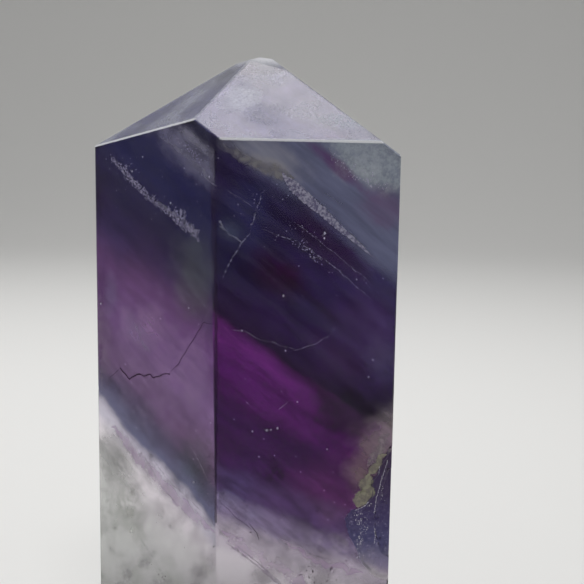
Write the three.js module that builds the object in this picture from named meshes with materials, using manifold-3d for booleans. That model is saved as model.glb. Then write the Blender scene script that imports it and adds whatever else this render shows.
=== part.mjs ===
// Fluorite point: a polished six-sided tower of banded fluorite, cut from one crystal.
// Millimetres, +Z up. It stands on its flat base, its broad front face turned to -Y and its
// second visible face to the left of it. Azimuths are degrees from -Y towards +X.
import * as THREE from 'three';
import { ConvexGeometry } from 'three/addons/geometries/ConvexGeometry.js';
import { mergeVertices } from 'three/addons/utils/BufferGeometryUtils.js';
import Module from 'manifold-3d';

// ---- driving dimensions ----
const pointHeight = 80; // about the height from the flat base to the blunted tip
const tipLoss = 0.7; // height that the worn tip has lost from its sharp apex
const apexOffset = { x: 1.87, y: 0.39 }; // the apex stands a little off the middle of the prism

// The six ground faces of the prism: which way each looks and how far it lies from the middle. A
// face with a lean looks up a little, so the stone is wider below; its distance is at leanHeight.
const leanHeight = 57;
const prismFaces = {
  front: { azimuth: 5, distance: 13.56 },
  rightSide: { azimuth: 86, distance: 17.4 },
  backRight: { azimuth: 150, distance: 12.98, lean: 1.7 },
  backLeft: { azimuth: 199, distance: 11.57 },
  leftSide: { azimuth: 264, distance: 16.46 },
  left: { azimuth: 318, distance: 11.31 },
};

// The six facets of the cap all pass through the apex. They were ground by eye, so they are
// turned a little against the prism faces below them and differ in slope.
const capFacets = [
  { azimuth: 5.5, slope: 35.75 },
  { azimuth: 86, slope: 36 },
  { azimuth: 140, slope: 34 },
  { azimuth: 197, slope: 34.5 },
  { azimuth: 256, slope: 31.5 },
  { azimuth: 303.2, slope: 34.5 },
];

// Small worn flats that blunt the tip, each sinking a given depth below the sharp apex.
const tipFlats = [
  { azimuth: 60, slope: 4, depth: tipLoss },
  { azimuth: 285, slope: 17, depth: 0.8 },
  { azimuth: 170, slope: 20, depth: 0.85 },
  { azimuth: 25, slope: 22, depth: 0.78 },
];

// Widths of the narrow polished flats along the edges.
const ridgeWidth = 0.22; // between cap facets, and between the cap and the prism
const cornerWidth = 0.26; // along the prism's upright edges
const baseWidth = 0.9; // around the foot

// The front upright edge has a flat of its own that narrows downwards.
const frontFlat = { azimuth: -16, lean: 0.25, widthAtTop: 0.62 };

// Chips: where they bite, their half sizes and their turn about Z.
const edgeChips = [
  { faces: ['leftSide', 'left'], height: 41.9, size: [0.34, 0.34, 0.28], turn: 20 },
  { faces: ['front', 'rightSide'], height: 38.9, size: [0.42, 0.42, 0.36], turn: 50 },
  { faces: ['left', 'front'], height: 22.4, size: [0.4, 0.4, 0.75], turn: 10 },
  { faces: ['rightSide', 'backRight'], height: 53.5, size: [0.5, 0.5, 0.9], turn: 35 },
  { faces: ['backRight', 'backLeft'], height: 30, size: [0.5, 0.5, 0.6], turn: 70 },
  { faces: ['backLeft', 'leftSide'], height: 12.5, size: [0.6, 0.6, 1.1], turn: 15 },
];

// The unpolished pocket beside the front face's right edge: two stepped ledges, each an outline of
// [distance in from the edge, height] with its depth, the slope of its wall and its floor's tilt.
const pocketLedges = [
  {
    outline: [
      [-0.6, 39.1], [0.15, 38.9], [1.2, 37.2], [1.45, 36.2], [2.15, 35.5], [2, 33.8], [3, 32.4],
      [4.2, 32.1], [4.8, 31.2], [4.3, 29.5], [3.5, 28], [2.9, 26.2], [1.4, 24.7], [-0.6, 24.2],
    ],
    depth: 0.34,
    wall: 0.22,
    tilt: 2.2,
  },
  {
    outline: [
      [-0.6, 37], [0.4, 36.6], [1.15, 34.4], [1.35, 32.8], [1.7, 31.5], [1.5, 29.2], [0.9, 27.3],
      [-0.6, 26.4],
    ],
    depth: 0.78,
    wall: 0.3,
    tilt: 6,
  },
];

const wasm = await Module();
wasm.setup();

const radians = THREE.MathUtils.degToRad;

// The unit vector that looks along an azimuth, raised by `lift` degrees from the horizontal.
function direction(azimuth, lift = 0) {
  const level = Math.cos(radians(lift));
  return new THREE.Vector3(
    Math.sin(radians(azimuth)) * level,
    -Math.cos(radians(azimuth)) * level,
    Math.sin(radians(lift)),
  );
}

// A flat of the stone: its outward normal and its distance from the origin.
function planeThrough(normal, point) {
  return { normal, distance: normal.dot(point) };
}

function prismPlane(name) {
  const { azimuth, distance, lean = 0 } = prismFaces[name];
  const point = direction(azimuth).multiplyScalar(distance).setZ(leanHeight);
  return planeThrough(direction(azimuth, lean), point);
}

function facetPlane({ azimuth, slope, depth = 0 }) {
  const apex = new THREE.Vector3(apexOffset.x, apexOffset.y, pointHeight + tipLoss - depth);
  return planeThrough(direction(azimuth, 90 - slope), apex);
}

// The point where three flats meet, or null where they don't.
function meeting(a, b, c) {
  const cross = new THREE.Vector3().crossVectors(b.normal, c.normal);
  const volume = a.normal.dot(cross);
  if (Math.abs(volume) < 1e-6) return null;
  const point = cross.multiplyScalar(a.distance);
  point.addScaledVector(new THREE.Vector3().crossVectors(c.normal, a.normal), b.distance);
  point.addScaledVector(new THREE.Vector3().crossVectors(a.normal, b.normal), c.distance);
  return point.divideScalar(volume);
}

// The corners of the convex stone inside all the flats, each with the flats that meet there.
function cornersOf(planes) {
  const corners = [];
  for (let i = 0; i < planes.length; i += 1) {
    for (let j = i + 1; j < planes.length; j += 1) {
      for (let k = j + 1; k < planes.length; k += 1) {
        const point = meeting(planes[i], planes[j], planes[k]);
        const inside = point && planes.every((p) => p.normal.dot(point) <= p.distance + 1e-6);
        if (inside) corners.push({ point, planes: [planes[i], planes[j], planes[k]] });
      }
    }
  }
  return corners;
}

// A narrow flat along the edge that two flats share: square to the line that halves their corner.
function edgeFlat(a, b, edgePoint, width) {
  const normal = new THREE.Vector3().addVectors(a.normal, b.normal).normalize();
  const halfTurn = a.normal.angleTo(b.normal) / 2;
  const depth = (width / 2) * Math.tan(halfTurn);
  return { normal, distance: normal.dot(edgePoint) - depth };
}

// The narrow flats along every edge between the main flats.
function edgeFlats(planes, widthBetween) {
  const corners = cornersOf(planes);
  const flats = [];
  planes.forEach((a, i) => {
    planes.slice(i + 1).forEach((b) => {
      const shared = corners.filter((corner) => corner.planes.includes(a) && corner.planes.includes(b));
      const width = widthBetween(a, b);
      const isEdge = shared.some((corner) => corner.point.distanceTo(shared[0].point) > width);
      if (isEdge) flats.push(edgeFlat(a, b, shared[0].point, width));
    });
  });
  return flats;
}

// The flat that narrows down the front upright edge.
function frontEdgeFlat(left, front) {
  const cap = facetPlane(capFacets[0]);
  const top = meeting(left, front, cap);
  const depth = (frontFlat.widthAtTop / 2) * Math.tan(left.normal.angleTo(front.normal) / 2);
  const plane = planeThrough(direction(frontFlat.azimuth, frontFlat.lean), top);
  plane.distance -= depth;
  return plane;
}

// The whole convex stone, before anything is chipped from it.
function polishedStone() {
  const base = { normal: new THREE.Vector3(0, 0, -1), distance: 0 };
  const prism = Object.keys(prismFaces).map(prismPlane);
  const main = [base, ...prism, ...capFacets.map(facetPlane)];
  const widthBetween = (a, b) => {
    if (a === base) return baseWidth;
    return prism.includes(a) && prism.includes(b) ? cornerWidth : ridgeWidth;
  };
  const planes = [
    ...main,
    ...edgeFlats(main, widthBetween),
    ...tipFlats.map(facetPlane),
    frontEdgeFlat(prismPlane('left'), prismPlane('front')),
  ];
  return new ConvexGeometry(cornersOf(planes).map((corner) => corner.point));
}

function toSolid(geometry) {
  const bare = geometry.clone();
  bare.deleteAttribute('normal');
  bare.deleteAttribute('uv');
  const merged = mergeVertices(bare, 1e-5);
  return new wasm.Manifold(new wasm.Mesh({
    numProp: 3,
    vertProperties: new Float32Array(merged.attributes.position.array),
    triVerts: new Uint32Array(merged.index.array),
  }));
}

function toGeometry(solid) {
  const mesh = solid.getMesh();
  const geometry = new THREE.BufferGeometry();
  geometry.setAttribute('position', new THREE.BufferAttribute(new Float32Array(mesh.vertProperties), 3));
  geometry.setIndex(new THREE.BufferAttribute(new Uint32Array(mesh.triVerts), 1));
  return geometry;
}

// A point on the upright edge between two prism faces.
function uprightEdge(faces, height) {
  const level = { normal: new THREE.Vector3(0, 0, 1), distance: height };
  return meeting(prismPlane(faces[0]), prismPlane(faces[1]), level);
}

// A faceted lump that leaves a small shell-shaped chip in an edge.
function chip({ faces, height, size, turn }) {
  const lump = new THREE.IcosahedronGeometry(1, 0);
  lump.scale(...size);
  lump.rotateZ(radians(turn));
  const { x, y, z } = uprightEdge(faces, height);
  lump.translate(x, y, z);
  return toSolid(lump);
}

// One ledge of the pocket: its outline is widest at the face and narrows inwards by its wall.
function pocketLedge({ outline, depth, wall, tilt }) {
  const shape = new THREE.Shape(outline.map(([inset, height]) => new THREE.Vector2(-inset, height)));
  const ledge = new THREE.ExtrudeGeometry(shape, {
    depth: 0.01,
    bevelThickness: depth,
    bevelSize: wall,
    bevelOffset: -wall,
    bevelSegments: 1,
  });
  const edge = uprightEdge(['front', 'rightSide'], 0);
  ledge.rotateX(radians(90));
  ledge.rotateZ(radians(prismFaces.front.azimuth + tilt));
  ledge.translate(edge.x, edge.y, edge.z);
  return toSolid(ledge);
}

function fluoritePoint() {
  let stone = toSolid(polishedStone());
  [...edgeChips.map(chip), ...pocketLedges.map(pocketLedge)].forEach((cutter) => {
    stone = stone.subtract(cutter);
  });
  const geometry = toGeometry(stone);
  geometry.computeBoundingBox();
  const middle = geometry.boundingBox.getCenter(new THREE.Vector3());
  geometry.translate(-middle.x, -middle.y, 0);
  const material = new THREE.MeshStandardMaterial({ color: 0x4b3d68, roughness: 0.16, metalness: 0 });
  const mesh = new THREE.Mesh(geometry, material);
  mesh.name = 'fluorite_point';
  return mesh;
}

const group = new THREE.Group();
group.add(fluoritePoint());
export default group;
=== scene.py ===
"""Looks of the fluorite point: the polished stone, the marks in it, and a plain studio."""

import logging
import math
from dataclasses import dataclass, field
from enum import Enum
from functools import partial, reduce

import bmesh
import bpy
import numpy as np
from mathutils import Matrix, Vector


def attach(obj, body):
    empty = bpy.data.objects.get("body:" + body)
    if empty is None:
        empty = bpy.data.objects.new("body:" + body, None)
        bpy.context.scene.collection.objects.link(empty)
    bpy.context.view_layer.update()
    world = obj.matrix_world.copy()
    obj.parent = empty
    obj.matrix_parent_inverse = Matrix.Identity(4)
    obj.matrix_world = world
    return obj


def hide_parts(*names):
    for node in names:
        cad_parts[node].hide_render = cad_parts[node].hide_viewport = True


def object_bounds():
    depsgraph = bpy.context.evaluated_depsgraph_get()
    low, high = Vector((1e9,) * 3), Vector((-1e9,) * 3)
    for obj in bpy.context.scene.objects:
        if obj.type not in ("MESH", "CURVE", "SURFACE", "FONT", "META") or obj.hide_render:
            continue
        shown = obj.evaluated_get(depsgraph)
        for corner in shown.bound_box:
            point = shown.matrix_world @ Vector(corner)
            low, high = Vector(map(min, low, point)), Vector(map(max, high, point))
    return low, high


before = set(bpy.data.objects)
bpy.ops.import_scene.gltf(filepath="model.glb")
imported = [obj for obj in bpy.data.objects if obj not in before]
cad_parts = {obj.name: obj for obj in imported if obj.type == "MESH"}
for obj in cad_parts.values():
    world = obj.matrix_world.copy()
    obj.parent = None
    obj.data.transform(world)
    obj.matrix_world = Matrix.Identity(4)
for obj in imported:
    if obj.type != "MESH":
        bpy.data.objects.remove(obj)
CAD_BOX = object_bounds()

MM = 0.001
FAR = 1000.0
STONE = "fluorite_point"
BODY = "root"
LOG = logging.getLogger(STONE)

Array = np.ndarray
Random = np.random.Generator
Socket = bpy.types.NodeSocket
Node = bpy.types.Node
NodeGroup = bpy.types.NodeTree
Material = bpy.types.Material
Mesh = bpy.types.Mesh
SceneObject = bpy.types.Object
Value = Socket | float
Pair = tuple[float, float]
Vec = tuple[float, float, float]
Colour = tuple[float, float, float]
Tint = Socket | Colour
Stops = tuple[tuple[float, Colour], ...]

SATIN_ROUGHNESS = 0.5
SATIN_GLOSS = 0.15
BLACK = (0.0, 0.0, 0.0)
UP = (0.0, 0.0, 1.0)


class Face(Enum):
    """The two broad faces that carry the marks, by their azimuth in degrees from -Y towards +X."""

    FRONT = 5.0
    LEFT = -42.0


@dataclass(frozen=True)
class GrowthPlanes:
    """A family of parallel growth planes. Each plane is named by its height at the front upright edge, in mm.

    rise is how much higher a plane lies for each mm towards -X and -Y, so the height is
    z + rise_x * (x - edge_x) + rise_y * (y - edge_y).
    """

    rise: Pair

    @property
    def normal(self) -> Vec:
        """The planes' unit normal."""
        normal = np.array([*self.rise, 1.0])
        return tuple((normal / np.linalg.norm(normal)).tolist())


BAND_PLANES = GrowthPlanes(rise=(0.409, -0.341))
STREAK_PLANES = GrowthPlanes(rise=(0.799, 0.050))


class Graph:
    """Adds nodes to one tree and wires them, so that each effect reads as a formula."""

    def __init__(self, tree: NodeGroup) -> None:
        """Keeps the tree that the nodes go into."""
        self.tree = tree

    def node(self, kind: str, **settings: object) -> Node:
        """Adds a node.

        Args:
            kind: the node's type name, without the leading ShaderNode.
            settings: attributes of the node.

        Returns:
            The new node.
        """
        made = self.tree.nodes.new("ShaderNode" + kind)
        for name, value in settings.items():
            setattr(made, name, value)
        return made

    def put(self, target: Socket, value: object) -> None:
        """Wires a socket to the target, or sets the target to a plain value."""
        if isinstance(value, Socket):
            self.tree.links.new(value, target)
        elif hasattr(target.default_value, "__len__") and isinstance(value, tuple):
            target.default_value = value if len(value) == len(target.default_value) else (*value, 1.0)
        else:
            target.default_value = value

    def math(self, operation: str, a: Value, b: Value = 0.0) -> Socket:
        """Returns operation(a, b) of two numbers."""
        made = self.node("Math", operation=operation)
        self.put(made.inputs[0], a)
        self.put(made.inputs[1], b)
        return made.outputs[0]

    def times(self, *values: Value) -> Socket:
        """Returns the product of the values."""
        return reduce(lambda a, b: self.math("MULTIPLY", a, b), values)

    def plus(self, *values: Value) -> Socket:
        """Returns the sum of the values."""
        return reduce(lambda a, b: self.math("ADD", a, b), values)

    def minus(self, a: Value, b: Value) -> Socket:
        """Returns a - b."""
        return self.math("SUBTRACT", a, b)

    def scaled_plus(self, a: Value, factor: float, base: float) -> Socket:
        """Returns a * factor + base."""
        return self.plus(self.times(a, factor), base)

    def vector(self, operation: str, a: Socket, b: Socket | Vec = (0.0, 0.0, 0.0)) -> Socket:
        """Returns operation(a, b) of vectors: a number for a dot product or distance, else a vector."""
        made = self.node("VectorMath", operation=operation)
        self.put(made.inputs[0], a)
        self.put(made.inputs[1], b)
        return made.outputs["Value" if operation in ("DOT_PRODUCT", "DISTANCE", "LENGTH") else "Vector"]

    def scaled(self, vector: Socket, factor: float) -> Socket:
        """Returns vector times factor."""
        made = self.node("VectorMath", operation="SCALE")
        self.put(made.inputs[0], vector)
        made.inputs["Scale"].default_value = factor
        return made.outputs["Vector"]

    def step(self, x: Value, low: float, high: float) -> Socket:
        """Returns a smooth step of x: 0 at low, 1 at high. A low above high steps down."""
        made = self.node("MapRange", interpolation_type="SMOOTHSTEP")
        self.put(made.inputs["Value"], x)
        ends = (low, high, 0.0, 1.0) if low < high else (high, low, 1.0, 0.0)
        for name, value in zip(("From Min", "From Max", "To Min", "To Max"), ends):
            made.inputs[name].default_value = value
        return made.outputs["Result"]

    def noise(self, where: Socket, size: float, detail: float = 3.0, roughness: float = 0.55) -> Socket:
        """Returns fractal noise about 0.5, with lumps of the given size in the units of where."""
        made = self.node("TexNoise")
        self.put(made.inputs["Vector"], where)
        made.inputs["Scale"].default_value = 1.0 / size
        made.inputs["Detail"].default_value = detail
        made.inputs["Roughness"].default_value = roughness
        return made.outputs["Fac"]

    def ragged(self, where: Socket, size: float, detail: float = 4.0) -> Socket:
        """Returns the same noise about 0."""
        return self.minus(self.noise(where, size, detail), 0.5)

    def layered(self, where: Socket, normal: Vec, squeeze: float) -> Socket:
        """Returns where stretched along normal, where + (squeeze - 1)(where . normal) normal, so that
        noise read there lies in sheets square to normal."""
        across = self.vector("DOT_PRODUCT", where, tuple((squeeze - 1.0) * n for n in normal))
        made = self.node("VectorMath", operation="MULTIPLY_ADD")
        made.inputs[0].default_value = normal
        self.put(made.inputs[1], across)
        self.put(made.inputs[2], where)
        return made.outputs["Vector"]

    def mix(self, factor: Value, a: Tint, b: Tint, blend: str = "MIX") -> Socket:
        """Returns colours a and b mixed by factor, in the given blend mode."""
        made = self.node("Mix", data_type="RGBA", blend_type=blend)
        self.put(made.inputs[0], factor)
        self.put(made.inputs[6], a)
        self.put(made.inputs[7], b)
        return made.outputs[2]

    def ramp(self, x: Socket, stops: Stops) -> Socket:
        """Returns the colour at x along stops, which are places in rising order with their colours."""
        low, high = stops[0][0], stops[-1][0]
        made = self.node("ValToRGB")
        made.color_ramp.interpolation = "EASE"
        elements = made.color_ramp.elements
        while len(elements) < len(stops):
            elements.new(0.5)
        for element, (place, colour) in zip(elements, stops):
            element.position = (place - low) / (high - low)
            element.color = (*colour, 1.0)
        span = self.node("MapRange")
        self.put(span.inputs["Value"], x)
        span.inputs["From Min"].default_value = low
        span.inputs["From Max"].default_value = high
        self.put(made.inputs["Fac"], span.outputs["Result"])
        return made.outputs["Color"]


def new_group(name: str, outputs: dict[str, str], inputs: dict[str, float] | None = None) -> tuple[
        NodeGroup, Graph, Node, Node]:
    """Starts a shader node group.

    Args:
        name: the group's name.
        outputs: output names with their socket types.
        inputs: names of number inputs with their usual values.

    Returns:
        The group, its graph, its output node and its input node.
    """
    tree = bpy.data.node_groups.new(name, "ShaderNodeTree")
    for socket, kind in outputs.items():
        tree.interface.new_socket(name=socket, in_out="OUTPUT", socket_type=kind)
    for socket, value in (inputs or {}).items():
        made = tree.interface.new_socket(name=socket, in_out="INPUT", socket_type="NodeSocketFloat")
        made.default_value = value
    return tree, Graph(tree), tree.nodes.new("NodeGroupOutput"), tree.nodes.new("NodeGroupInput")


def millimetres(g: Graph) -> Socket:
    """Returns the point on the stone in millimetres."""
    return g.scaled(g.node("TexCoord").outputs["Object"], 1.0 / MM)


@dataclass(frozen=True)
class FaceFrame:
    """Coordinates on one upright face: mm along it from the front edge, and height.

    corner is the front edge's place in mm, tangent points along the face away from that edge, and
    normal looks out of the face.
    """

    corner: Pair
    tangent: Pair
    normal: Pair

    def place(self, along: Array, height: Array, proud: Array | float = 0.0) -> Array:
        """Returns points in metres: corner + along * tangent + proud * normal, at that height."""
        flat = np.array(self.corner) + np.multiply.outer(along, self.tangent)
        flat = flat + np.multiply.outer(np.broadcast_to(proud, np.shape(along)), self.normal)
        return np.concatenate([flat, np.asarray(height)[..., None]], axis=-1) * MM


@dataclass
class StoneShape:
    """The stone's main flats, as the CAD solid has them: azimuths, leans and slopes in degrees."""

    prism: tuple[Pair, ...] = ((5, 0), (86, 0), (150, 1.7), (199, 0), (264, 0), (318, 0))
    cap: tuple[Pair, ...] = (
        (5.5, 54.25), (86, 54), (140, 56), (197, 55.5), (256, 58.5), (303.2, 55.5),
    )
    vertices: Array = field(init=False)

    def __post_init__(self) -> None:
        """Reads the solid's corners from the frame, in mm."""
        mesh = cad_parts[STONE].data
        corners = np.empty(len(mesh.vertices) * 3, dtype=np.float32)
        mesh.vertices.foreach_get("co", corners)
        self.vertices = corners.reshape(-1, 3).astype(float) / MM

    def planes(self) -> list[tuple[Vec, float]]:
        """Returns each flat's outward normal and its distance, measured on the solid, in mm."""
        turn, lift = np.radians(np.array(self.prism + self.cap)).T
        normals = np.stack([np.sin(turn) * np.cos(lift), -np.cos(turn) * np.cos(lift), np.sin(lift)], axis=1)
        reach = (self.vertices @ normals.T).max(axis=0)
        return [(tuple(n), float(d)) for n, d in zip(normals.tolist(), reach)]

    def face(self, face: Face) -> FaceFrame:
        """Returns the frame of one of the two broad faces.

        Args:
            face: which face.

        Returns:
            Its frame, with its zero at the front upright edge.
        """
        flats = {Face.FRONT: self.planes()[0], Face.LEFT: self.planes()[-7]}
        normals = np.array([flats[f][0][:2] for f in Face])
        distances = np.array([flats[f][1] for f in Face])
        corner = np.linalg.solve(normals, distances)
        normal = normals[list(Face).index(face)]
        away = 1.0 if face is Face.FRONT else -1.0
        tangent = (-normal[1] * away, normal[0] * away)
        return FaceFrame(tuple(corner), tangent, tuple(normal))

    def right_edge(self) -> float:
        """Returns how far along the front face its right edge lies, in mm, where the next face cuts it."""
        broad = self.face(Face.FRONT)
        normal, distance = self.planes()[1]
        return float((distance - np.dot(normal[:2], broad.corner)) / np.dot(normal[:2], broad.tangent))


def plane_height(g: Graph, point: Socket, planes: GrowthPlanes, shape: StoneShape) -> Socket:
    """Returns the height at which the growth plane through a point crosses the front edge, in mm."""
    from_edge = g.vector("SUBTRACT", point, (*shape.face(Face.FRONT).corner, 0.0))
    return g.vector("DOT_PRODUCT", from_edge, (*planes.rise, 1.0))


@dataclass
class Here:
    """Where a shading point lies on one face: mm along it and height as a vector, and 1 on the face."""

    place: Socket
    along: Socket
    on_face: Socket


def on_face(g: Graph, point: Socket, face: FaceFrame) -> Here:
    """Places a point on a face.

    Args:
        g: the graph.
        point: the point, in mm.
        face: the face's frame.

    Returns:
        The point's place on the face.
    """
    from_corner = g.vector("SUBTRACT", point, (*face.corner, 0.0))
    along = g.vector("DOT_PRODUCT", from_corner, (*face.tangent, 0.0))
    proud = g.vector("DOT_PRODUCT", from_corner, (*face.normal, 0.0))
    place = g.node("CombineXYZ")
    g.put(place.inputs["X"], along)
    g.put(place.inputs["Y"], g.vector("DOT_PRODUCT", point, UP))
    return Here(place.outputs["Vector"], along, g.step(proud, -0.35, -0.12))


@dataclass(frozen=True)
class Cloud:
    """An oval cloud on a face: its middle and half sizes in mm, its turn in degrees and how soft it is."""

    middle: Pair
    size: Pair
    turn: float = 0.0
    soft: float = 0.7

    def mask(self, g: Graph, here: Here, ragged: Socket) -> Socket:
        """Returns 1 inside, falling to 0 at the edge: a step of the oval distance plus ragged noise.

        The oval distance is the length of the place less the middle, turned back by the cloud's turn
        and divided by its half sizes.
        """
        oval = g.node("Mapping", vector_type="TEXTURE")
        g.put(oval.inputs["Vector"], here.place)
        oval.inputs["Location"].default_value = (*self.middle, 0.0)
        oval.inputs["Rotation"].default_value = (0.0, 0.0, math.radians(self.turn))
        oval.inputs["Scale"].default_value = (*self.size, 1.0)
        out = g.vector("LENGTH", oval.outputs["Vector"])
        return g.times(g.step(g.plus(out, ragged), 1.0, 1.0 - self.soft), here.on_face)


class Breakup(Enum):
    """What breaks a cloud up: fibres along the streak planes, lumps of a millimetre, or fine specks."""

    FIBRES = "fibres"
    MOTTLE = "mottle"
    SPECKLE = "speckle"


@dataclass(frozen=True)
class ColourZones:
    """The stone's colour, zone by zone, as tints of the light that passes it.

    Each stop is a plane's height at the front edge, in mm, with its tint. The stone has a deep
    sector and a lighter one, parted by an upright plane that starts beside the front edge. Behind,
    the sectors run together. Each cloud that multiplies the tint has its face, cloud and tint; most
    are colour in the stone itself, and the one at the far edge of the left face is a painted dark
    reflection of that edge. waves, ripples and sheets are each the size and the reach, in mm, of
    what bends the planes, and fibres is how dark the fibres are in the deep and in the light sector.
    """

    shape: StoneShape
    deep_sector: Stops = (
        (20.0, (0.84, 0.83, 0.82)),
        (27.5, (1.00, 0.93, 0.99)),
        (30.6, (0.62, 0.52, 0.68)),
        (32.6, (0.150, 0.100, 0.260)),
        (35.0, (0.017, 0.005, 0.045)),
        (38.5, (0.0052, 0.0003, 0.012)),
        (43.0, (0.0046, 0.0002, 0.012)),
        (48.0, (0.034, 0.0008, 0.052)),
        (51.6, (0.105, 0.0040, 0.135)),
        (53.6, (0.0016, 0.0002, 0.0050)),
        (58.0, (0.0036, 0.0010, 0.017)),
        (66.0, (0.0110, 0.0034, 0.040)),
        (70.5, (0.016, 0.008, 0.060)),
        (73.0, (0.050, 0.050, 0.150)),
        (78.0, (0.090, 0.095, 0.230)),
    )
    light_sector: Stops = (
        (20.0, (0.56, 0.58, 0.55)),
        (23.0, (0.74, 0.74, 0.72)),
        (27.0, (1.00, 0.93, 0.98)),
        (29.7, (0.54, 0.52, 0.66)),
        (31.3, (0.034, 0.038, 0.105)),
        (33.8, (0.014, 0.010, 0.034)),
        (36.8, (0.066, 0.022, 0.090)),
        (43.0, (0.200, 0.080, 0.270)),
        (48.0, (0.180, 0.065, 0.240)),
        (52.5, (0.050, 0.022, 0.095)),
        (56.0, (0.018, 0.012, 0.055)),
        (62.0, (0.012, 0.013, 0.100)),
        (69.0, (0.030, 0.028, 0.130)),
        (78.0, (0.120, 0.115, 0.230)),
    )
    far_side: Stops = (
        (12.0, (0.62, 0.62, 0.62)),
        (20.0, (0.94, 0.91, 0.94)),
        (26.0, (0.90, 0.84, 0.92)),
        (29.0, (0.55, 0.46, 0.66)),
        (36.0, (0.30, 0.16, 0.42)),
        (46.0, (0.34, 0.18, 0.44)),
        (52.0, (0.18, 0.14, 0.38)),
        (66.0, (0.20, 0.19, 0.44)),
        (78.0, (0.36, 0.36, 0.54)),
    )
    stains_and_painted_reflection: tuple[tuple[Face, Cloud, Colour], ...] = (
        (Face.FRONT, Cloud((10.8, 60.4), (7.5, 2.4), -42.0), (0.8, 0.12, 0.40)),
        (Face.FRONT, Cloud((6.0, 57.0), (4.6, 2.7), -38.0), (1.3, 0.10, 0.28)),
        (Face.FRONT, Cloud((9.2, 55.0), (6.0, 0.7), -40.0), (0.5, 0.30, 0.35)),
        (Face.FRONT, Cloud((2.2, 62.4), (4.2, 6.0), -20.0, 0.9), (1.6, 4.6, 2.5)),
        (Face.FRONT, Cloud((14.6, 51.0), (6.0, 7.0), -40.0), (2.0, 1.6, 1.1)),
        (Face.FRONT, Cloud((12.6, 35.0), (6.0, 4.8), -30.0), (3.4, 3.2, 1.9)),
        (Face.FRONT, Cloud((2.6, 36.0), (4.5, 5.0), 0.0, 0.95), (1.0, 1.5, 1.4)),
        (Face.FRONT, Cloud((13.6, 42.6), (7.2, 4.0), -38.0, 0.75), (0.07, 0.30, 0.07)),
        # Painted reflection: this darker strip at the far edge of the left face stands in for the dark that
        # the edge reflects.
        (Face.LEFT, Cloud((19.6, 64.5), (1.4, 5.0), 0.0), (0.5, 0.5, 0.5)),
        (Face.LEFT, Cloud((16.5, 61.0), (7.0, 6.5), 0.0, 0.9), (0.60, 0.80, 0.90)),
        (Face.LEFT, Cloud((18.4, 53.5), (3.6, 5.0), 10.0, 0.9), (0.55, 0.40, 0.60)),
        (Face.LEFT, Cloud((3.2, 56.0), (4.4, 6.5), 0.0, 0.9), (1.3, 1.9, 0.9)),
        (Face.LEFT, Cloud((2.8, 37.0), (4.6, 5.0), 30.0, 0.9), (0.42, 0.72, 0.44)),
        (Face.LEFT, Cloud((17.4, 33.6), (5.5, 5.0), 25.0, 0.9), (0.66, 0.69, 0.66)),
    )
    sector_place: Vec = (-3.03, -13.18, 59.0)
    sector_run: Pair = (0.205, -0.022)
    near_depth: Pair = (-0.2, 5.0)
    bend: Pair = (35.0, 57.0)
    waves: Pair = (9.0, 4.2)
    ripples: Pair = (1.3, 0.7)
    sheets: Pair = (7.0, 1.5)
    fibres: Pair = (0.62, 0.34)
    fibres_start: Pair = (28.0, 34.0)
    above_foot: Pair = (28.0, 32.0)
    above_foot_tint: Colour = (0.72, 0.72, 0.72)

    def sector(self, g: Graph, point: Socket) -> Socket:
        """Returns 1 in the deep sector and 0 in the light one.

        The parting plane goes through sector_place; for each mm back and each mm up its x grows
        by sector_run.
        """
        per_y, per_z = self.sector_run
        from_place = g.vector("SUBTRACT", point, self.sector_place)
        return g.step(g.vector("DOT_PRODUCT", from_place, (1.0, -per_y, -per_z)), -0.05, 0.08)

    def height_of_growth(self, g: Graph, point: Socket) -> Socket:
        """Returns the growth plane's height in mm, with waves, ripples and thin sheets added.

        It is band + bend * (steep - band): the planes steepen upwards from the band planes to the
        streak planes.
        """
        band = plane_height(g, point, BAND_PLANES, self.shape)
        steep = plane_height(g, point, STREAK_PLANES, self.shape)
        bend = g.step(band, *self.bend)
        band = g.plus(band, g.times(bend, g.minus(steep, band)))
        sheets = g.layered(point, STREAK_PLANES.normal, 5.0)
        for where, (size, reach) in ((point, self.waves), (point, self.ripples), (sheets, self.sheets)):
            wave = g.times(g.ragged(where, size, 3.0), reach)
            band = g.plus(band, wave)
        return band

    def with_stains_and_painted_reflection(self, g: Graph, point: Socket, tint: Socket) -> Socket:
        """Returns the tint with each tinting cloud on it, the painted dark reflection at the left face's far
        edge among them: each multiplies it inside its cloud.
        """
        ragged = g.ragged(point, 2.4)
        heres = {face: on_face(g, point, self.shape.face(face)) for face in Face}
        for face, cloud, tint_factor in self.stains_and_painted_reflection:
            tint = g.mix(cloud.mask(g, heres[face], ragged), tint, g.mix(1.0, tint, tint_factor, "MULTIPLY"))
        return tint

    def group(self) -> NodeGroup:
        """Builds the node group, whose output Tint is the colour of the light that passes."""
        tree, g, out, _ = new_group("colour_zones", {"Tint": "NodeSocketColor"})
        point = millimetres(g)
        band = self.height_of_growth(g, point)
        sector = self.sector(g, point)
        near = g.mix(sector, g.ramp(band, self.light_sector), g.ramp(band, self.deep_sector))
        near = self.with_stains_and_painted_reflection(g, point, near)
        above = g.mix(1.0, near, self.above_foot_tint, "MULTIPLY")
        near = g.mix(g.step(band, *self.above_foot), near, above)
        clear = g.step(g.noise(g.layered(point, STREAK_PLANES.normal, 5.0), 5.0, 4.0), 0.34, 0.66)
        deep, light = self.fibres
        reach = g.scaled_plus(sector, deep - light, light)
        near = g.mix(g.times(g.minus(1.0, clear), g.step(band, *self.fibres_start), reach), near, BLACK)
        behind = g.step(g.vector("DOT_PRODUCT", point, (0.0, 1.0, 0.0)), *self.near_depth)
        g.put(out.inputs["Tint"], g.mix(behind, near, g.ramp(band, self.far_side)))
        return tree


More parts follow.
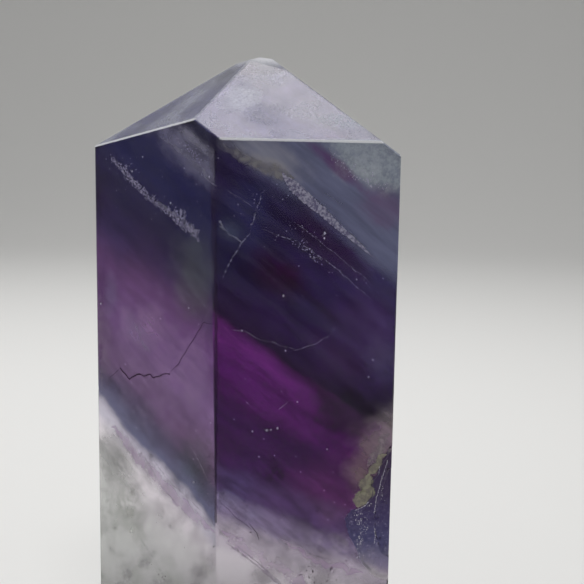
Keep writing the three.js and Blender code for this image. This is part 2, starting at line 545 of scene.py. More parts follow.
@dataclass(frozen=True)
class StoneFlats:
    """Masks worked out from the stone's flats: the wear along their edges, the cap, and the brows where a
    highlight is painted.
    """

    shape: StoneShape

    def group(self) -> NodeGroup:
        """Builds the node group.

        A point's depth under each flat is distance - normal . point. The least depth is that of the
        flat it lies on, and the second least is how close it is to the next flat, so to an edge.

        Returns:
            The group: its input Width is the worn strip's width in mm, its output Wear is 1 at the
            edges, Cap is 1 on the cap's facets, and the output for the brows is 1 on the edge between each
            prism face and the facet above it, where a painted highlight goes.
        """
        outputs = {"Wear": "NodeSocketFloat", "Cap": "NodeSocketFloat", "BrowHighlight": "NodeSocketFloat"}
        tree, g, out, given = new_group("stone_flats", outputs, {"Width": 0.14})
        point = millimetres(g)
        least = second = FAR
        depths = [g.minus(distance, g.vector("DOT_PRODUCT", point, normal))
                  for normal, distance in self.shape.planes()]
        for depth in depths:
            second = g.math("MINIMUM", second, g.math("MAXIMUM", least, depth))
            least = g.math("MINIMUM", least, depth)
        faces, facets = depths[:len(self.shape.prism)], depths[len(self.shape.prism):]
        upright = reduce(lambda a, b: g.math("MINIMUM", a, b), faces)
        brows = [g.math("MAXIMUM", face, facet) for face, facet in zip(faces, facets)]
        brow_highlight = reduce(lambda a, b: g.math("MINIMUM", a, b), brows)
        ragged = g.times(g.ragged(point, 0.5), 0.30)
        closeness = g.math("DIVIDE", g.plus(second, ragged), given.outputs["Width"])
        g.put(out.inputs["Wear"], g.step(closeness, 1.0, 0.2))
        g.put(out.inputs["Cap"], g.step(g.minus(upright, least), 0.01, 0.05))
        g.put(out.inputs["BrowHighlight"], g.step(g.plus(brow_highlight, g.times(ragged, 0.25)), 0.125, 0.075))
        return tree


@dataclass
class Layers:
    """Translucent layers laid one over another: the colour and the cover of all that is laid."""

    g: Graph
    colour: Tint = (0.5, 0.5, 0.5)
    cover: Value = 0.0

    def lay(self, colour: Tint, cover: Value) -> None:
        """Lays a layer on top: covers join as 1 - (1 - old)(1 - new), and the colour mixes by new / joined.

        Args:
            colour: the layer's colour.
            cover: how much of what is under it the layer hides, 0 to 1.
        """
        g = self.g
        clear = g.times(g.minus(1.0, self.cover), g.minus(1.0, cover))
        joined = g.minus(1.0, clear)
        share = g.math("DIVIDE", cover, g.math("MAXIMUM", joined, 0.0001))
        self.colour = g.mix(share, self.colour, colour)
        self.cover = joined


@dataclass(frozen=True)
class MilkyBloom:
    """Milky sheets, clouds and frost that lie just under the polish, with painted glints, a painted glow and
    a painted highlight along the brows, as layers of colour and cover.

    A rise, a top or a reach is the pair of heights or distances in mm between which a layer comes in.
    Each of the cap_patches has its cloud, colour and cover, and each of the clouds also its face and
    what breaks it up. clean_edge is the strip of the left face beside the front edge, in mm, that the
    clouds leave free.
    """

    shape: StoneShape
    haze: Colour = (0.30, 0.32, 0.52)
    haze_rise: Pair = (70.0, 73.6)
    faint_haze_rise: Pair = (50.0, 60.0)
    wisp: Colour = (0.52, 0.54, 0.49)
    painted_glint: Colour = (0.96, 0.96, 0.94)
    foot_top: Pair = (26.8, 23.6)
    thin_milk: Colour = (0.62, 0.62, 0.60)
    thin_milk_top: Pair = (21.0, 12.0)
    root: Colour = (0.66, 0.67, 0.65)
    root_top: Pair = (18.0, 4.0)
    frost: Colour = (0.62, 0.64, 0.70)
    dusk: Colour = (0.30, 0.30, 0.40)
    tip: Vec = (1.2, 0.29, 80.0)
    tip_reach: Pair = (4.6, 1.2)
    worn_tip: Colour = (0.76, 0.76, 0.80)
    rubbed_edge: Colour = (0.66, 0.66, 0.72)
    brow_highlight: Colour = (0.92, 0.92, 0.95)
    clean_edge: Pair = (0.50, 0.66)
    cap_patches: tuple[tuple[Cloud, Colour, float], ...] = (
        (Cloud((2.4, 75.0), (3.0, 1.6), 30.0, 0.9), (0.92, 0.94, 0.98), 0.40),
        (Cloud((13.6, 72.7), (6.0, 1.2), -6.0, 0.9), (0.52, 0.60, 0.64), 0.40),
        (Cloud((5.4, 73.6), (4.4, 1.5), 20.0, 0.9), (0.20, 0.21, 0.26), 0.46),
    )
    clouds: tuple[tuple[Face, Cloud, Colour, float, Breakup], ...] = (
        (Face.FRONT, Cloud((15.4, 68.8), (5.6, 3.4), -14.0, 0.45), (0.50, 0.56, 0.61), 0.80, Breakup.SPECKLE),
        (Face.FRONT, Cloud((14.8, 68.2), (2.4, 3.0), -10.0, 0.8), (0.72, 0.77, 0.82), 0.55, Breakup.MOTTLE),
        (Face.FRONT, Cloud((12.0, 68.1), (5.2, 0.95), -39.0, 0.6), (0.13, 0.035, 0.17), 0.78, Breakup.FIBRES),
        (Face.FRONT, Cloud((16.6, 64.2), (3.4, 2.6), -30.0), (0.20, 0.11, 0.24), 0.60, Breakup.FIBRES),
        (Face.FRONT, Cloud((4.5, 69.4), (6.5, 2.2), -24.0), (0.42, 0.42, 0.50), 0.58, Breakup.FIBRES),
        (Face.FRONT, Cloud((5.0, 68.3), (4.2, 1.0), -24.0), (0.46, 0.42, 0.40), 0.50, Breakup.FIBRES),
        (Face.FRONT, Cloud((18.2, 39.6), (3.6, 5.4), 16.0, 0.8), (0.46, 0.40, 0.41), 0.80, Breakup.FIBRES),
        (Face.FRONT, Cloud((16.4, 38.8), (3.6, 4.4), 16.0, 0.95), (0.30, 0.22, 0.24), 0.60, Breakup.FIBRES),
        (Face.FRONT, Cloud((15.2, 36.0), (2.6, 4.0), 10.0, 0.9), (0.36, 0.27, 0.26), 0.66, Breakup.FIBRES),
        (Face.FRONT, Cloud((13.4, 27.6), (8.0, 3.0), -18.0), (0.52, 0.46, 0.54), 0.40, Breakup.MOTTLE),
        (Face.FRONT, Cloud((16.0, 24.6), (4.6, 2.2), 0.0, 0.9), (0.48, 0.44, 0.50), 0.42, Breakup.FIBRES),
        # Painted glow: a faint bluish cloud along the glow below the glint at the front edge.
        (Face.FRONT, Cloud((1.2, 61.6), (2.2, 1.4), -50.0, 0.9), (0.30, 0.40, 0.52), 0.20, Breakup.FIBRES),
        (Face.FRONT, Cloud((16.9, 48.4), (2.6, 3.6), 0.0, 0.9), (0.20, 0.17, 0.31), 0.34, Breakup.FIBRES),
        (Face.FRONT, Cloud((16.6, 43.9), (3.8, 1.7), 38.0), (0.04, 0.03, 0.05), 0.60, Breakup.FIBRES),
        (Face.LEFT, Cloud((4.6, 69.6), (9.5, 2.8), 30.0, 0.95), (0.42, 0.40, 0.58), 0.58, Breakup.FIBRES),
        (Face.LEFT, Cloud((3.4, 70.6), (4.6, 0.8), 31.0, 0.9), (0.58, 0.56, 0.72), 0.45, Breakup.FIBRES),
        (Face.LEFT, Cloud((11.0, 46.6), (11.0, 9.0), 0.0, 0.9), (0.52, 0.36, 0.60), 0.30, Breakup.FIBRES),
        (Face.LEFT, Cloud((11.6, 50.6), (4.6, 3.2), -20.0, 0.9), (0.62, 0.40, 0.68), 0.30, Breakup.FIBRES),
        (Face.LEFT, Cloud((3.6, 46.5), (3.6, 6.0), 0.0, 0.9), (0.52, 0.36, 0.60), 0.26, Breakup.FIBRES),
        (Face.LEFT, Cloud((17.4, 53.4), (1.8, 3.6), 0.0, 0.9), (0.34, 0.33, 0.52), 0.30, Breakup.FIBRES),
        (Face.LEFT, Cloud((13.0, 49.6), (3.6, 2.0), 30.0), (0.50, 0.50, 0.70), 0.28, Breakup.MOTTLE),
        (Face.LEFT, Cloud((3.8, 57.0), (4.8, 6.5), 0.0, 0.9), (0.20, 0.225, 0.225), 0.42, Breakup.FIBRES),
        (Face.LEFT, Cloud((19.4, 47.0), (2.6, 8.0), 0.0), (0.44, 0.36, 0.42), 0.36, Breakup.MOTTLE),
        (Face.LEFT, Cloud((10.4, 33.0), (9.0, 1.7), 28.0, 0.9), (0.58, 0.55, 0.60), 0.42, Breakup.FIBRES),
        (Face.LEFT, Cloud((17.6, 35.6), (4.0, 3.6), 20.0, 0.9), (0.40, 0.38, 0.43), 0.50, Breakup.FIBRES),
        (Face.LEFT, Cloud((14.6, 29.4), (4.2, 3.4), -20.0), (0.34, 0.36, 0.31), 0.54, Breakup.MOTTLE),
        (Face.LEFT, Cloud((16.4, 33.4), (6.0, 4.0), 25.0, 0.9), (0.40, 0.41, 0.40), 0.66, Breakup.FIBRES),
        (Face.LEFT, Cloud((10.0, 29.6), (5.0, 2.6), 26.0, 0.9), (0.62, 0.58, 0.63), 0.30, Breakup.FIBRES),
    )

    def haze_layer(self, g: Graph, point: Socket, flats: Node, layers: Layers) -> None:
        """Lays the blue-grey haze under the stone's top, in thin sheets that follow the streak planes."""
        off_cap = g.minus(1.0, flats.outputs["Cap"])
        sheet = plane_height(g, point, STREAK_PLANES, self.shape)
        thin = g.layered(point, STREAK_PLANES.normal, 6.0)
        fibres = g.step(g.noise(thin, 8.0, 3.0), 0.32, 0.70)
        broad = g.times(g.ragged(point, 7.0, 3.0), 5.0)
        rise = g.step(g.plus(sheet, broad), *self.haze_rise)
        full = g.times(rise, g.scaled_plus(fibres, 0.16, 0.46))
        faint = g.times(fibres, g.step(sheet, *self.faint_haze_rise), 0.06)
        layers.lay(self.haze, g.times(g.plus(full, faint), off_cap))

    def cloud_layers(self, g: Graph, point: Socket, layers: Layers) -> None:
        """Lays the clouds: each has its face, oval, colour, cover and what breaks it up."""
        fine = g.noise(g.layered(point, STREAK_PLANES.normal, 5.0), 5.0, 4.0)
        breakups = {
            Breakup.MOTTLE: g.step(g.noise(point, 1.1, 5.0, 0.62), 0.30, 0.74),
            Breakup.SPECKLE: g.scaled_plus(g.step(g.noise(point, 0.5, 5.0, 0.75), 0.34, 0.68), 0.55, 0.45),
            Breakup.FIBRES: g.scaled_plus(g.step(fine, 0.30, 0.70), 0.45, 0.55),
        }
        ragged = g.ragged(point, 2.2)
        heres = {face: on_face(g, point, self.shape.face(face)) for face in Face}
        side = heres[Face.LEFT]
        side.on_face = g.times(side.on_face, g.step(side.along, *self.clean_edge))
        for face, cloud, colour, cover, breakup in self.clouds:
            layers.lay(colour, g.times(cloud.mask(g, heres[face], ragged), cover, breakups[breakup]))

    def foot_layer(self, g: Graph, point: Socket, layers: Layers) -> None:
        """Lays wisps, thin milk and painted glints, white specks that stand in for bright glints of light, in
        the clear foot, and the milky root above the base.
        """
        height = plane_height(g, point, BAND_PLANES, self.shape)
        foot = g.step(height, *self.foot_top)
        wisps = g.step(g.noise(point, 4.2, 4.0, 0.5), 0.44, 0.66)
        layers.lay(self.wisp, g.times(foot, wisps, 0.34))
        level = g.vector("DOT_PRODUCT", point, UP)
        layers.lay(self.thin_milk, g.times(g.step(level, *self.thin_milk_top), 0.34))
        root = g.step(g.minus(level, g.times(wisps, 4.0)), *self.root_top)
        layers.lay(self.root, g.times(root, 0.86))
        # Painted glints: white specks in the clear foot stand in for small bright glints of light.
        flecks = g.step(g.noise(point, 1.6, 4.0, 0.6), 0.60, 0.76)
        layers.lay(self.painted_glint, g.times(foot, flecks, 0.45))

    def cap_layers(self, g: Graph, point: Socket, flats: Node, layers: Layers) -> None:
        """Lays the fine-ground frost of the cap, the whiter worn tip, the rubbed edges and a painted
        highlight on the brows.
        """
        smudge = g.step(g.noise(point, 4.5, 4.0, 0.55), 0.30, 0.68)
        grain = g.step(g.noise(point, 0.30, 4.0, 0.75), 0.30, 0.74)
        cap = flats.outputs["Cap"]
        ground = g.times(g.scaled_plus(smudge, 0.26, 0.14), g.scaled_plus(grain, 0.4, 0.7))
        layers.lay(self.frost, g.times(cap, ground))
        dusk = g.step(g.noise(point, 7.0, 3.0), 0.36, 0.74)
        layers.lay(self.dusk, g.times(cap, dusk, 0.30))
        place = on_face(g, point, self.shape.face(Face.FRONT))
        place.on_face = cap
        ragged = g.times(g.minus(smudge, 0.5), 0.8)
        for cloud, colour, cover in self.cap_patches:
            layers.lay(colour, g.times(cloud.mask(g, place, ragged), cover, g.scaled_plus(grain, 0.8, 0.2)))
        reach = g.vector("DISTANCE", point, self.tip)
        worn = g.step(g.plus(reach, g.times(grain, 1.2)), *self.tip_reach)
        layers.lay(self.worn_tip, g.times(worn, 0.62))
        rubbed = g.times(g.scaled_plus(grain, 0.14, 0.03), g.scaled_plus(cap, 2.6, 0.08))
        layers.lay(self.rubbed_edge, g.times(flats.outputs["Wear"], rubbed))
        # Painted highlight: a near-white line along the edge between each prism face and the cap facet above
        # it, standing in for the light its rounded edge catches.
        layers.lay(self.brow_highlight, g.times(flats.outputs["BrowHighlight"], 0.82))

    def group(self, flats: NodeGroup) -> NodeGroup:
        """Builds the node group.

        Args:
            flats: the stone's flats' group.

        Returns:
            The group, with the outputs Colour and Cover.
        """
        outputs = {"Colour": "NodeSocketColor", "Cover": "NodeSocketFloat"}
        tree, g, out, _ = new_group("milky_layers", outputs)
        point = millimetres(g)
        layers = Layers(g)
        masks = g.node("Group", node_tree=flats)
        self.haze_layer(g, point, masks, layers)
        self.foot_layer(g, point, layers)
        self.cloud_layers(g, point, layers)
        self.cap_layers(g, point, masks, layers)
        g.put(out.inputs["Colour"], layers.colour)
        g.put(out.inputs["Cover"], layers.cover)
        return tree


def principled(name: str) -> tuple[Material, Graph, Node]:
    """Starts a material with its main shader.

    Args:
        name: the material's name.

    Returns:
        The material, its graph and its Principled shader.
    """
    made = bpy.data.materials.new(name)
    made.use_nodes = True
    return made, Graph(made.node_tree), made.node_tree.nodes["Principled BSDF"]


def roughen(g: Graph, shader: Node, height: Socket, depth: float) -> None:
    """Gives a shader a bumpy normal.

    Args:
        g: the graph.
        shader: the Principled shader.
        height: the relief, 0 to 1.
        depth: the relief's depth in mm.
    """
    bump = g.node("Bump")
    bump.inputs["Distance"].default_value = depth * MM
    g.put(bump.inputs["Height"], height)
    g.put(shader.inputs["Normal"], bump.outputs["Normal"])


@dataclass(frozen=True)
class PolishedFluorite:
    """The finish of the stone itself: clear, tinted zone by zone, with a soft polish."""

    ior: float = 1.434
    sheen: Colour = (0.70, 0.56, 0.78)
    polish: float = 0.11
    smear: float = 0.05
    rubbed: float = 0.34
    absorption: Colour = (0.62, 0.56, 0.66)
    density: float = 24.0

    def material(self, zones: NodeGroup, flats: NodeGroup) -> Material:
        """Builds the material.

        Args:
            zones: the colour zones' group.
            flats: the stone's flats' group.

        Returns:
            The material.
        """
        made, g, shader = principled("polished_fluorite")
        shader.inputs["IOR"].default_value = self.ior
        shader.inputs["Transmission Weight"].default_value = 1.0
        shader.inputs["Specular Tint"].default_value = (*self.sheen, 1.0)
        tint = g.node("Group", node_tree=zones)
        g.put(shader.inputs["Base Color"], tint.outputs["Tint"])
        wear = g.node("Group", node_tree=flats)
        smear = g.times(g.ragged(millimetres(g), 2.5), self.smear)
        worn = g.times(wear.outputs["Wear"], g.scaled_plus(wear.outputs["Cap"], 0.8, 0.2))
        rough = g.plus(smear, g.times(worn, self.rubbed - self.polish), self.polish)
        g.put(shader.inputs["Roughness"], rough)
        volume = g.node("VolumeAbsorption")
        volume.inputs["Color"].default_value = (*self.absorption, 1.0)
        volume.inputs["Density"].default_value = self.density
        g.put(made.node_tree.nodes["Material Output"].inputs["Volume"], volume.outputs[0])
        return made


def satin(g: Graph, shader: Node, colour: Socket, cover: Socket) -> None:
    """Makes a shader the satin of frost that partly covers the stone.

    Args:
        g: the graph.
        shader: the Principled shader.
        colour: the frost's colour.
        cover: how much it hides, 0 to 1.
    """
    g.put(shader.inputs["Base Color"], colour)
    g.put(shader.inputs["Alpha"], cover)
    shader.inputs["Roughness"].default_value = SATIN_ROUGHNESS
    shader.inputs["Specular IOR Level"].default_value = SATIN_GLOSS


def bloom_material(bloom: NodeGroup) -> Material:
    """Builds the milky skin's finish from the milky bloom's group."""
    made, g, shader = principled("milky_bloom")
    layer = g.node("Group", node_tree=bloom)
    satin(g, shader, layer.outputs["Colour"], layer.outputs["Cover"])
    return made


@dataclass(frozen=True)
class StreakFinish:
    """The finish of a streak: two colours broken up by grain, fading towards its sides.

    cover is its greatest cover, grain the size of its grains in mm, broken how much of it the
    grains leave out, 0 to 1, and soft how softly its sides fade.
    """

    name: str
    colour: Colour
    second: Colour
    cover: float
    grain: float = 0.3
    broken: float = 0.5
    soft: float = 0.55

    def material(self) -> Material:
        """Builds the material.

        The cover is (1 - across squared), less the noise that breaks it up; across is -1 to 1 over
        the streak's width and comes from its UV map.
        """
        made, g, shader = principled(self.name)
        point = millimetres(g)
        across = g.node("SeparateXYZ")
        g.put(across.inputs[0], g.node("UVMap", uv_map="streak").outputs["UV"])
        side = g.minus(g.times(across.outputs["Y"], 2.0), 1.0)
        body = g.minus(1.0, g.times(side, side))
        grain = g.noise(point, self.grain, 4.0, 0.68)
        holes = g.times(g.step(grain, 0.62, 0.38), self.broken)
        shown = g.step(g.minus(body, holes), 0.0, self.soft)
        colour = g.mix(g.step(grain, 0.4, 0.62), self.second, self.colour)
        satin(g, shader, colour, g.times(shown, self.cover))
        return made


@dataclass(frozen=True)
class GrainFinish:
    """The finish of the bright grains caught in the stone."""

    colour: Colour = (0.80, 0.78, 0.86)
    darker: Colour = (0.52, 0.50, 0.62)
    roughness: float = 0.28

    def material(self) -> Material:
        """Builds the material: whitish, from grain to grain a little darker."""
        made, g, shader = principled("bright_grains")
        shade = g.step(g.noise(millimetres(g), 1.1, 2.0), 0.35, 0.65)
        g.put(shader.inputs["Base Color"], g.mix(shade, self.darker, self.colour))
        shader.inputs["Roughness"].default_value = self.roughness
        return made


@dataclass(frozen=True)
class RoughPocketFinish:
    """The finish of the unpolished pocket: broken crystal, indigo above and paler towards its foot."""

    stops: Stops = (
        (26.6, (0.50, 0.44, 0.52)),
        (28.6, (0.24, 0.23, 0.38)),
        (30.5, (0.085, 0.078, 0.235)),
        (33.0, (0.064, 0.042, 0.17)),
        (36.0, (0.050, 0.022, 0.11)),
        (40.2, (0.046, 0.018, 0.08)),
        (41.6, (0.35, 0.30, 0.30)),
    )
    crest: Colour = (0.52, 0.47, 0.70)
    painted_hollow_shade: Colour = (0.02, 0.010, 0.04)
    painted_wall_light: Colour = (0.76, 0.70, 0.77)
    foot: Pair = (27.0, 31.0)
    lip: Pair = (0.40, 0.95)
    roughness: float = 0.38
    relief: float = 0.12

    def material(self) -> Material:
        """Builds the material: the stops run up the height, with frosted crests, painted shade in the low
        parts of the relief, and painted light that lifts the shading of the lower wall.

        The crust thins out to nothing across its ragged lip, where the UV map's V runs from 0, and
        it thins to half towards its foot.
        """
        made, g, shader = principled("rough_pocket")
        point = millimetres(g)
        height = g.vector("DOT_PRODUCT", point, (0.12, 0.0, 1.0))
        uneven = g.times(g.ragged(point, 1.2, 3.0), 2.6)
        height = g.plus(height, uneven)
        colour = g.ramp(height, self.stops)
        crests = g.noise(point, 0.55, 5.0, 0.7)
        low = g.scaled_plus(g.step(height, 35.0, 32.0), 0.35, 0.12)
        colour = g.mix(g.times(g.step(crests, 0.55, 0.68), low), colour, self.crest)
        # Painted shade: the low parts of the relief are darkened.
        hollow_shade = g.times(g.step(crests, 0.42, 0.30), g.step(height, 27.5, 30.5))
        colour = g.mix(hollow_shade, colour, self.painted_hollow_shade)
        inward = g.node("SeparateXYZ")
        g.put(inward.inputs[0], g.node("UVMap", uv_map="crust").outputs["UV"])
        wall = g.times(g.step(inward.outputs["Y"], 2.6, 1.8), g.step(height, 29.5, 26.5))
        # Painted light: the lower part of the pocket's wall is made pale to lift the shade that falls on it.
        colour = g.mix(g.times(wall, 0.8), colour, self.painted_wall_light)
        g.put(shader.inputs["Base Color"], colour)
        ring = g.plus(inward.outputs["Y"], g.times(g.minus(crests, 0.5), 1.6))
        thick = g.scaled_plus(g.step(height, *self.foot), 0.5, 0.5)
        shown = g.times(g.step(ring, *self.lip), thick)
        covered = g.times(wall, g.step(inward.outputs["Y"], 0.8, 1.0))
        g.put(shader.inputs["Alpha"], g.math("MAXIMUM", shown, covered))
        shader.inputs["Roughness"].default_value = self.roughness
        roughen(g, shader, crests, self.relief)
        return made


@dataclass(frozen=True)
class PaleBoard:
    """The plain pale surface of the studio floor and its cove."""

    colour: Colour = (0.78, 0.775, 0.76)
    roughness: float = 0.8

    def material(self) -> Material:
        """Builds the matt pale material."""
        made, g, shader = principled("pale_board")
        g.put(shader.inputs["Base Color"], self.colour)
        shader.inputs["Roughness"].default_value = self.roughness
        return made


def grid_quads(rows: int, columns: int, closed_across: bool = False) -> Array:
    """Returns the corner numbers of a grid's quads; closed_across joins its last column to its first."""
    corner = np.arange(rows * columns).reshape(rows, columns)
    near = corner if closed_across else corner[:, :-1]
    far = np.roll(corner, -1, axis=1) if closed_across else corner[:, 1:]
    return np.stack([near[:-1], far[:-1], far[1:], near[1:]], axis=-1).reshape(-1, 4)


def make_mesh(name: str, points: Array, faces: Array, uv_name: str = "", uv: Array | None = None) -> Mesh:
    """Makes a mesh.

    Args:
        name: its name.
        points: its corners in metres, in rows of 3.
        faces: the corner numbers of its faces, facing out.
        uv_name: the name of its UV map, where it has one.
        uv: a pair of coordinates for each corner.

    Returns:
        The mesh.
    """
    mesh = bpy.data.meshes.new(name)
    mesh.from_pydata(points.reshape(-1, 3).tolist(), [], faces.tolist())
    if uv is not None:
        coordinates = uv.reshape(-1, 2)[faces.ravel()].astype(np.float32)
        mesh.uv_layers.new(name=uv_name).data.foreach_set("uv", coordinates.ravel())
    return mesh


MERGED = 0.001 * MM
FLAT = math.radians(0.6)


def stone_mesh(name: str) -> Mesh:
    """Copies the CAD solid's surface, merges its corners and joins its flat faces.

    Args:
        name: the new mesh's name.

    Returns:
        The mesh.
    """
    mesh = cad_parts[STONE].data.copy()
    mesh.name = name
    mesh.materials.clear()
    shape = bmesh.new()
    shape.from_mesh(mesh)
    bmesh.ops.remove_doubles(shape, verts=shape.verts, dist=MERGED)
    bmesh.ops.dissolve_limit(shape, angle_limit=FLAT, verts=shape.verts, edges=shape.edges)
    shape.to_mesh(mesh)
    shape.free()
    return mesh


def add_object(name: str, data: bpy.types.ID) -> SceneObject:
    """Puts a mesh, a light or a camera in the scene."""
    made = bpy.data.objects.new(name, data)
    bpy.context.scene.collection.objects.link(made)
    return made


def stone_piece(mesh: Mesh, material: Material) -> SceneObject:
    """Puts a mesh in the scene as a piece of the stone.

    Args:
        mesh: its mesh, in place, with the piece's name.
        material: its finish.

    Returns:
        The piece.
    """
    piece = add_object(mesh.name, mesh)
    mesh.materials.append(material)
    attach(piece, BODY)
    LOG.info("%s: %d faces", mesh.name, len(mesh.polygons))
    return piece


def inside_box(points: Array) -> Array:
    """Returns points in metres, held inside the solid's own box."""
    return np.clip(points, np.array(CAD_BOX[0]), np.array(CAD_BOX[1]))


@dataclass
class PolishedStone:
    """The stone: the CAD solid's own surface, with its edges rounded as polishing leaves them."""

    edge_radius: float = 0.05 * MM
    least_edge: float = math.radians(8.0)

    def build(self, material: Material) -> SceneObject:
        """Builds the stone with its finish, in place of the CAD solid."""
        mesh = stone_mesh("polished_stone")
        mesh.shade_flat()
        piece = stone_piece(mesh, material)
        rounding = piece.modifiers.new("rounded_edges", "BEVEL")
        rounding.width = self.edge_radius
        rounding.segments = 2
        rounding.limit_method = "ANGLE"
        rounding.angle_limit = self.least_edge
        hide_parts(STONE)
        return piece


@dataclass
class MilkySkin:
    """The milky layers, as a skin that follows the stone just outside its polish. The base has none."""

    proud: float = 0.025 * MM
    downward: float = -0.9

    def build(self, material: Material) -> SceneObject:
        """Builds the skin: each corner moves out by proud along its normal, and the base is left open."""
        mesh = stone_mesh("milky_skin")
        shape = bmesh.new()
        shape.from_mesh(mesh)
        base = [face for face in shape.faces if face.normal.z < self.downward]
        bmesh.ops.delete(shape, geom=base, context="FACES")
        shape.to_mesh(mesh)
        shape.free()
        count = len(mesh.vertices)
        corners, normals = np.empty(count * 3, np.float32), np.empty(count * 3, np.float32)
        mesh.vertices.foreach_get("co", corners)
        mesh.vertices.foreach_get("normal", normals)
        moved = inside_box((corners + normals * self.proud).reshape(-1, 3))
        mesh.vertices.foreach_set("co", moved.astype(np.float32).ravel())
        mesh.shade_flat()
        return stone_piece(mesh, material)


def resampled(path: Array, count: int) -> Array:
    """Returns count points evenly spaced along an open path of points."""
    steps = np.linalg.norm(np.diff(path, axis=0), axis=1)
    length = np.concatenate([[0.0], np.cumsum(steps)])
    where = np.linspace(0.0, length[-1], count)
    return np.stack([np.interp(where, length, path[:, axis]) for axis in range(path.shape[1])], axis=1)


def sideways(path: Array) -> Array:
    """Returns the unit normals of a flat path, turned a quarter left of its run."""
    run = np.gradient(path, axis=0)
    run /= np.maximum(np.linalg.norm(run, axis=1, keepdims=True), 1e-9)
    return np.stack([-run[:, 1], run[:, 0]], axis=1)


STREAK_STEP = 0.2
STRAY_EVERY = 3
LENGTHWAYS = [0, 3, 2, 1]


@dataclass(frozen=True)
class Streak:
    """A streak in a face: its path in (along, height) mm, its width in mm at its start and end.

    wander is how far it strays from the path in mm, and tapered names whether its ends thin out.
    """

    face: Face
    path: tuple[Pair, ...]
    width: Pair
    wander: float = 0.05
    tapered: bool = True

    def surface(self, shape: StoneShape, proud: float, random: Random) -> tuple[Array, Array]:
        """Works out the streak's surface.

        A point at a share s along the path and v across it, -1 to 1, is
        path(s) + v * half width(s) * sideways(s), lifted off the face by proud.

        Args:
            shape: the stone's flats.
            proud: the lift in mm.
            random: the source of the wander.

        Returns:
            The grid of points in metres, and its UV coordinates.
        """
        path = np.array(self.path)
        length = np.linalg.norm(np.diff(path, axis=0), axis=1).sum()
        count = max(8, int(length / STREAK_STEP))
        line = resampled(path, count)
        share = np.linspace(0.0, 1.0, count)
        bends = np.arange(0, count + STRAY_EVERY, STRAY_EVERY)
        strays = random.normal(0, self.wander, count // STRAY_EVERY + 2)[:len(bends)]
        stray = np.interp(np.arange(count), bends, strays)
        line = line + sideways(line) * stray[:, None]
        half = 0.5 * (self.width[0] + (self.width[1] - self.width[0]) * share)
        if self.tapered:
            half = half * np.minimum(1.0, 6.0 * np.minimum(share, 1.0 - share) + 0.08)
        across = np.linspace(-1.0, 1.0, 5)
        flat = line[:, None] + across[None, :, None] * (half[:, None] * sideways(line))[:, None]
        uv = np.stack(np.broadcast_arrays(share[:, None] * length, (across[None] + 1.0) / 2.0), axis=-1)
        return shape.face(self.face).place(flat[..., 0], flat[..., 1], proud), uv


@dataclass
class StreakSheet:
    """All the streaks of one finish, as one piece."""

    name: str
    streaks: tuple[Streak, ...]
    finish: StreakFinish
    proud: float = 0.040
    seed: int = 3

    def build(self, shape: StoneShape) -> SceneObject:
        """Builds the piece: one strip of quads for each streak, facing out of its face.

        Each quad's first side runs along the streak.

        Args:
            shape: the stone's flats.

        Returns:
            The piece.
        """
        random = np.random.default_rng(self.seed)
        points, quads, uvs, start = [], [], [], 0
        for streak in self.streaks:
            grid, uv = streak.surface(shape, self.proud, random)
            rows, columns, _ = grid.shape
            quad = grid_quads(rows, columns)[:, LENGTHWAYS] + start
            outward = np.array([*shape.face(streak.face).normal, 0.0])
            turn = np.cross(grid[1, 0] - grid[0, 0], grid[0, 1] - grid[0, 0])
            points.append(grid.reshape(-1, 3))
            quads.append(quad if turn @ outward > 0 else quad[:, ::-1])
            uvs.append(uv.reshape(-1, 2))
            start += rows * columns
        joined = inside_box(np.concatenate(points))
        mesh = make_mesh(self.name, joined, np.concatenate(quads), "streak", np.concatenate(uvs))
        return stone_piece(mesh, self.finish.material())


def bipyramids(middles: Array, halves: Array, turns: Array) -> tuple[Array, Array]:
    """Works out many small double pyramids at once.

    The corners are middle +- half along three square axes, turned about Z by turn.

    Args:
        middles: their middles, count by 3.
        halves: their half sizes, count by 3.
        turns: their turns about Z, in radians.

    Returns:
        All corners, and all triangles, facing out.
    """
    unit = np.array([[1, 0, 0], [0, 1, 0], [-1, 0, 0], [0, -1, 0], [0, 0, 1], [0, 0, -1]], float)
    local = unit[None] * halves[:, None]
    x, y, z = np.moveaxis(local, -1, 0)
    cos, sin = np.cos(turns)[:, None], np.sin(turns)[:, None]
    turned = np.stack([x * cos - y * sin, x * sin + y * cos, z], axis=-1)
    side = np.array([[0, 1, 4], [1, 2, 4], [2, 3, 4], [3, 0, 4], [1, 0, 5], [2, 1, 5], [3, 2, 5], [0, 3, 5]])
    triangles = side[None] + 6 * np.arange(len(middles))[:, None, None]
    return (turned + middles[:, None]).reshape(-1, 3), triangles.reshape(-1, 3)


def lattice_noise(points: Array, size: float, random: Random) -> Array:
    """Returns smooth noise from -1 to 1 at 2-D points: random numbers on a lattice, blended between.

    Args:
        points: any array of (u, v), in mm.
        size: the lattice's spacing in mm.
        random: the source of the numbers.

    Returns:
        One number for each point.
    """
    lattice = random.uniform(-1.0, 1.0, (64, 64))
    place = points / size
    cell = np.floor(place).astype(int)
    part = place - cell
    part = part * part * (3.0 - 2.0 * part)
    (u0, v0), (u1, v1) = np.moveaxis(cell, -1, 0) % 64, np.moveaxis(cell + 1, -1, 0) % 64
    low = lattice[u0, v0] * (1 - part[..., 0]) + lattice[u1, v0] * part[..., 0]
    high = lattice[u0, v1] * (1 - part[..., 0]) + lattice[u1, v1] * part[..., 0]
    return low * (1 - part[..., 1]) + high * part[..., 1]


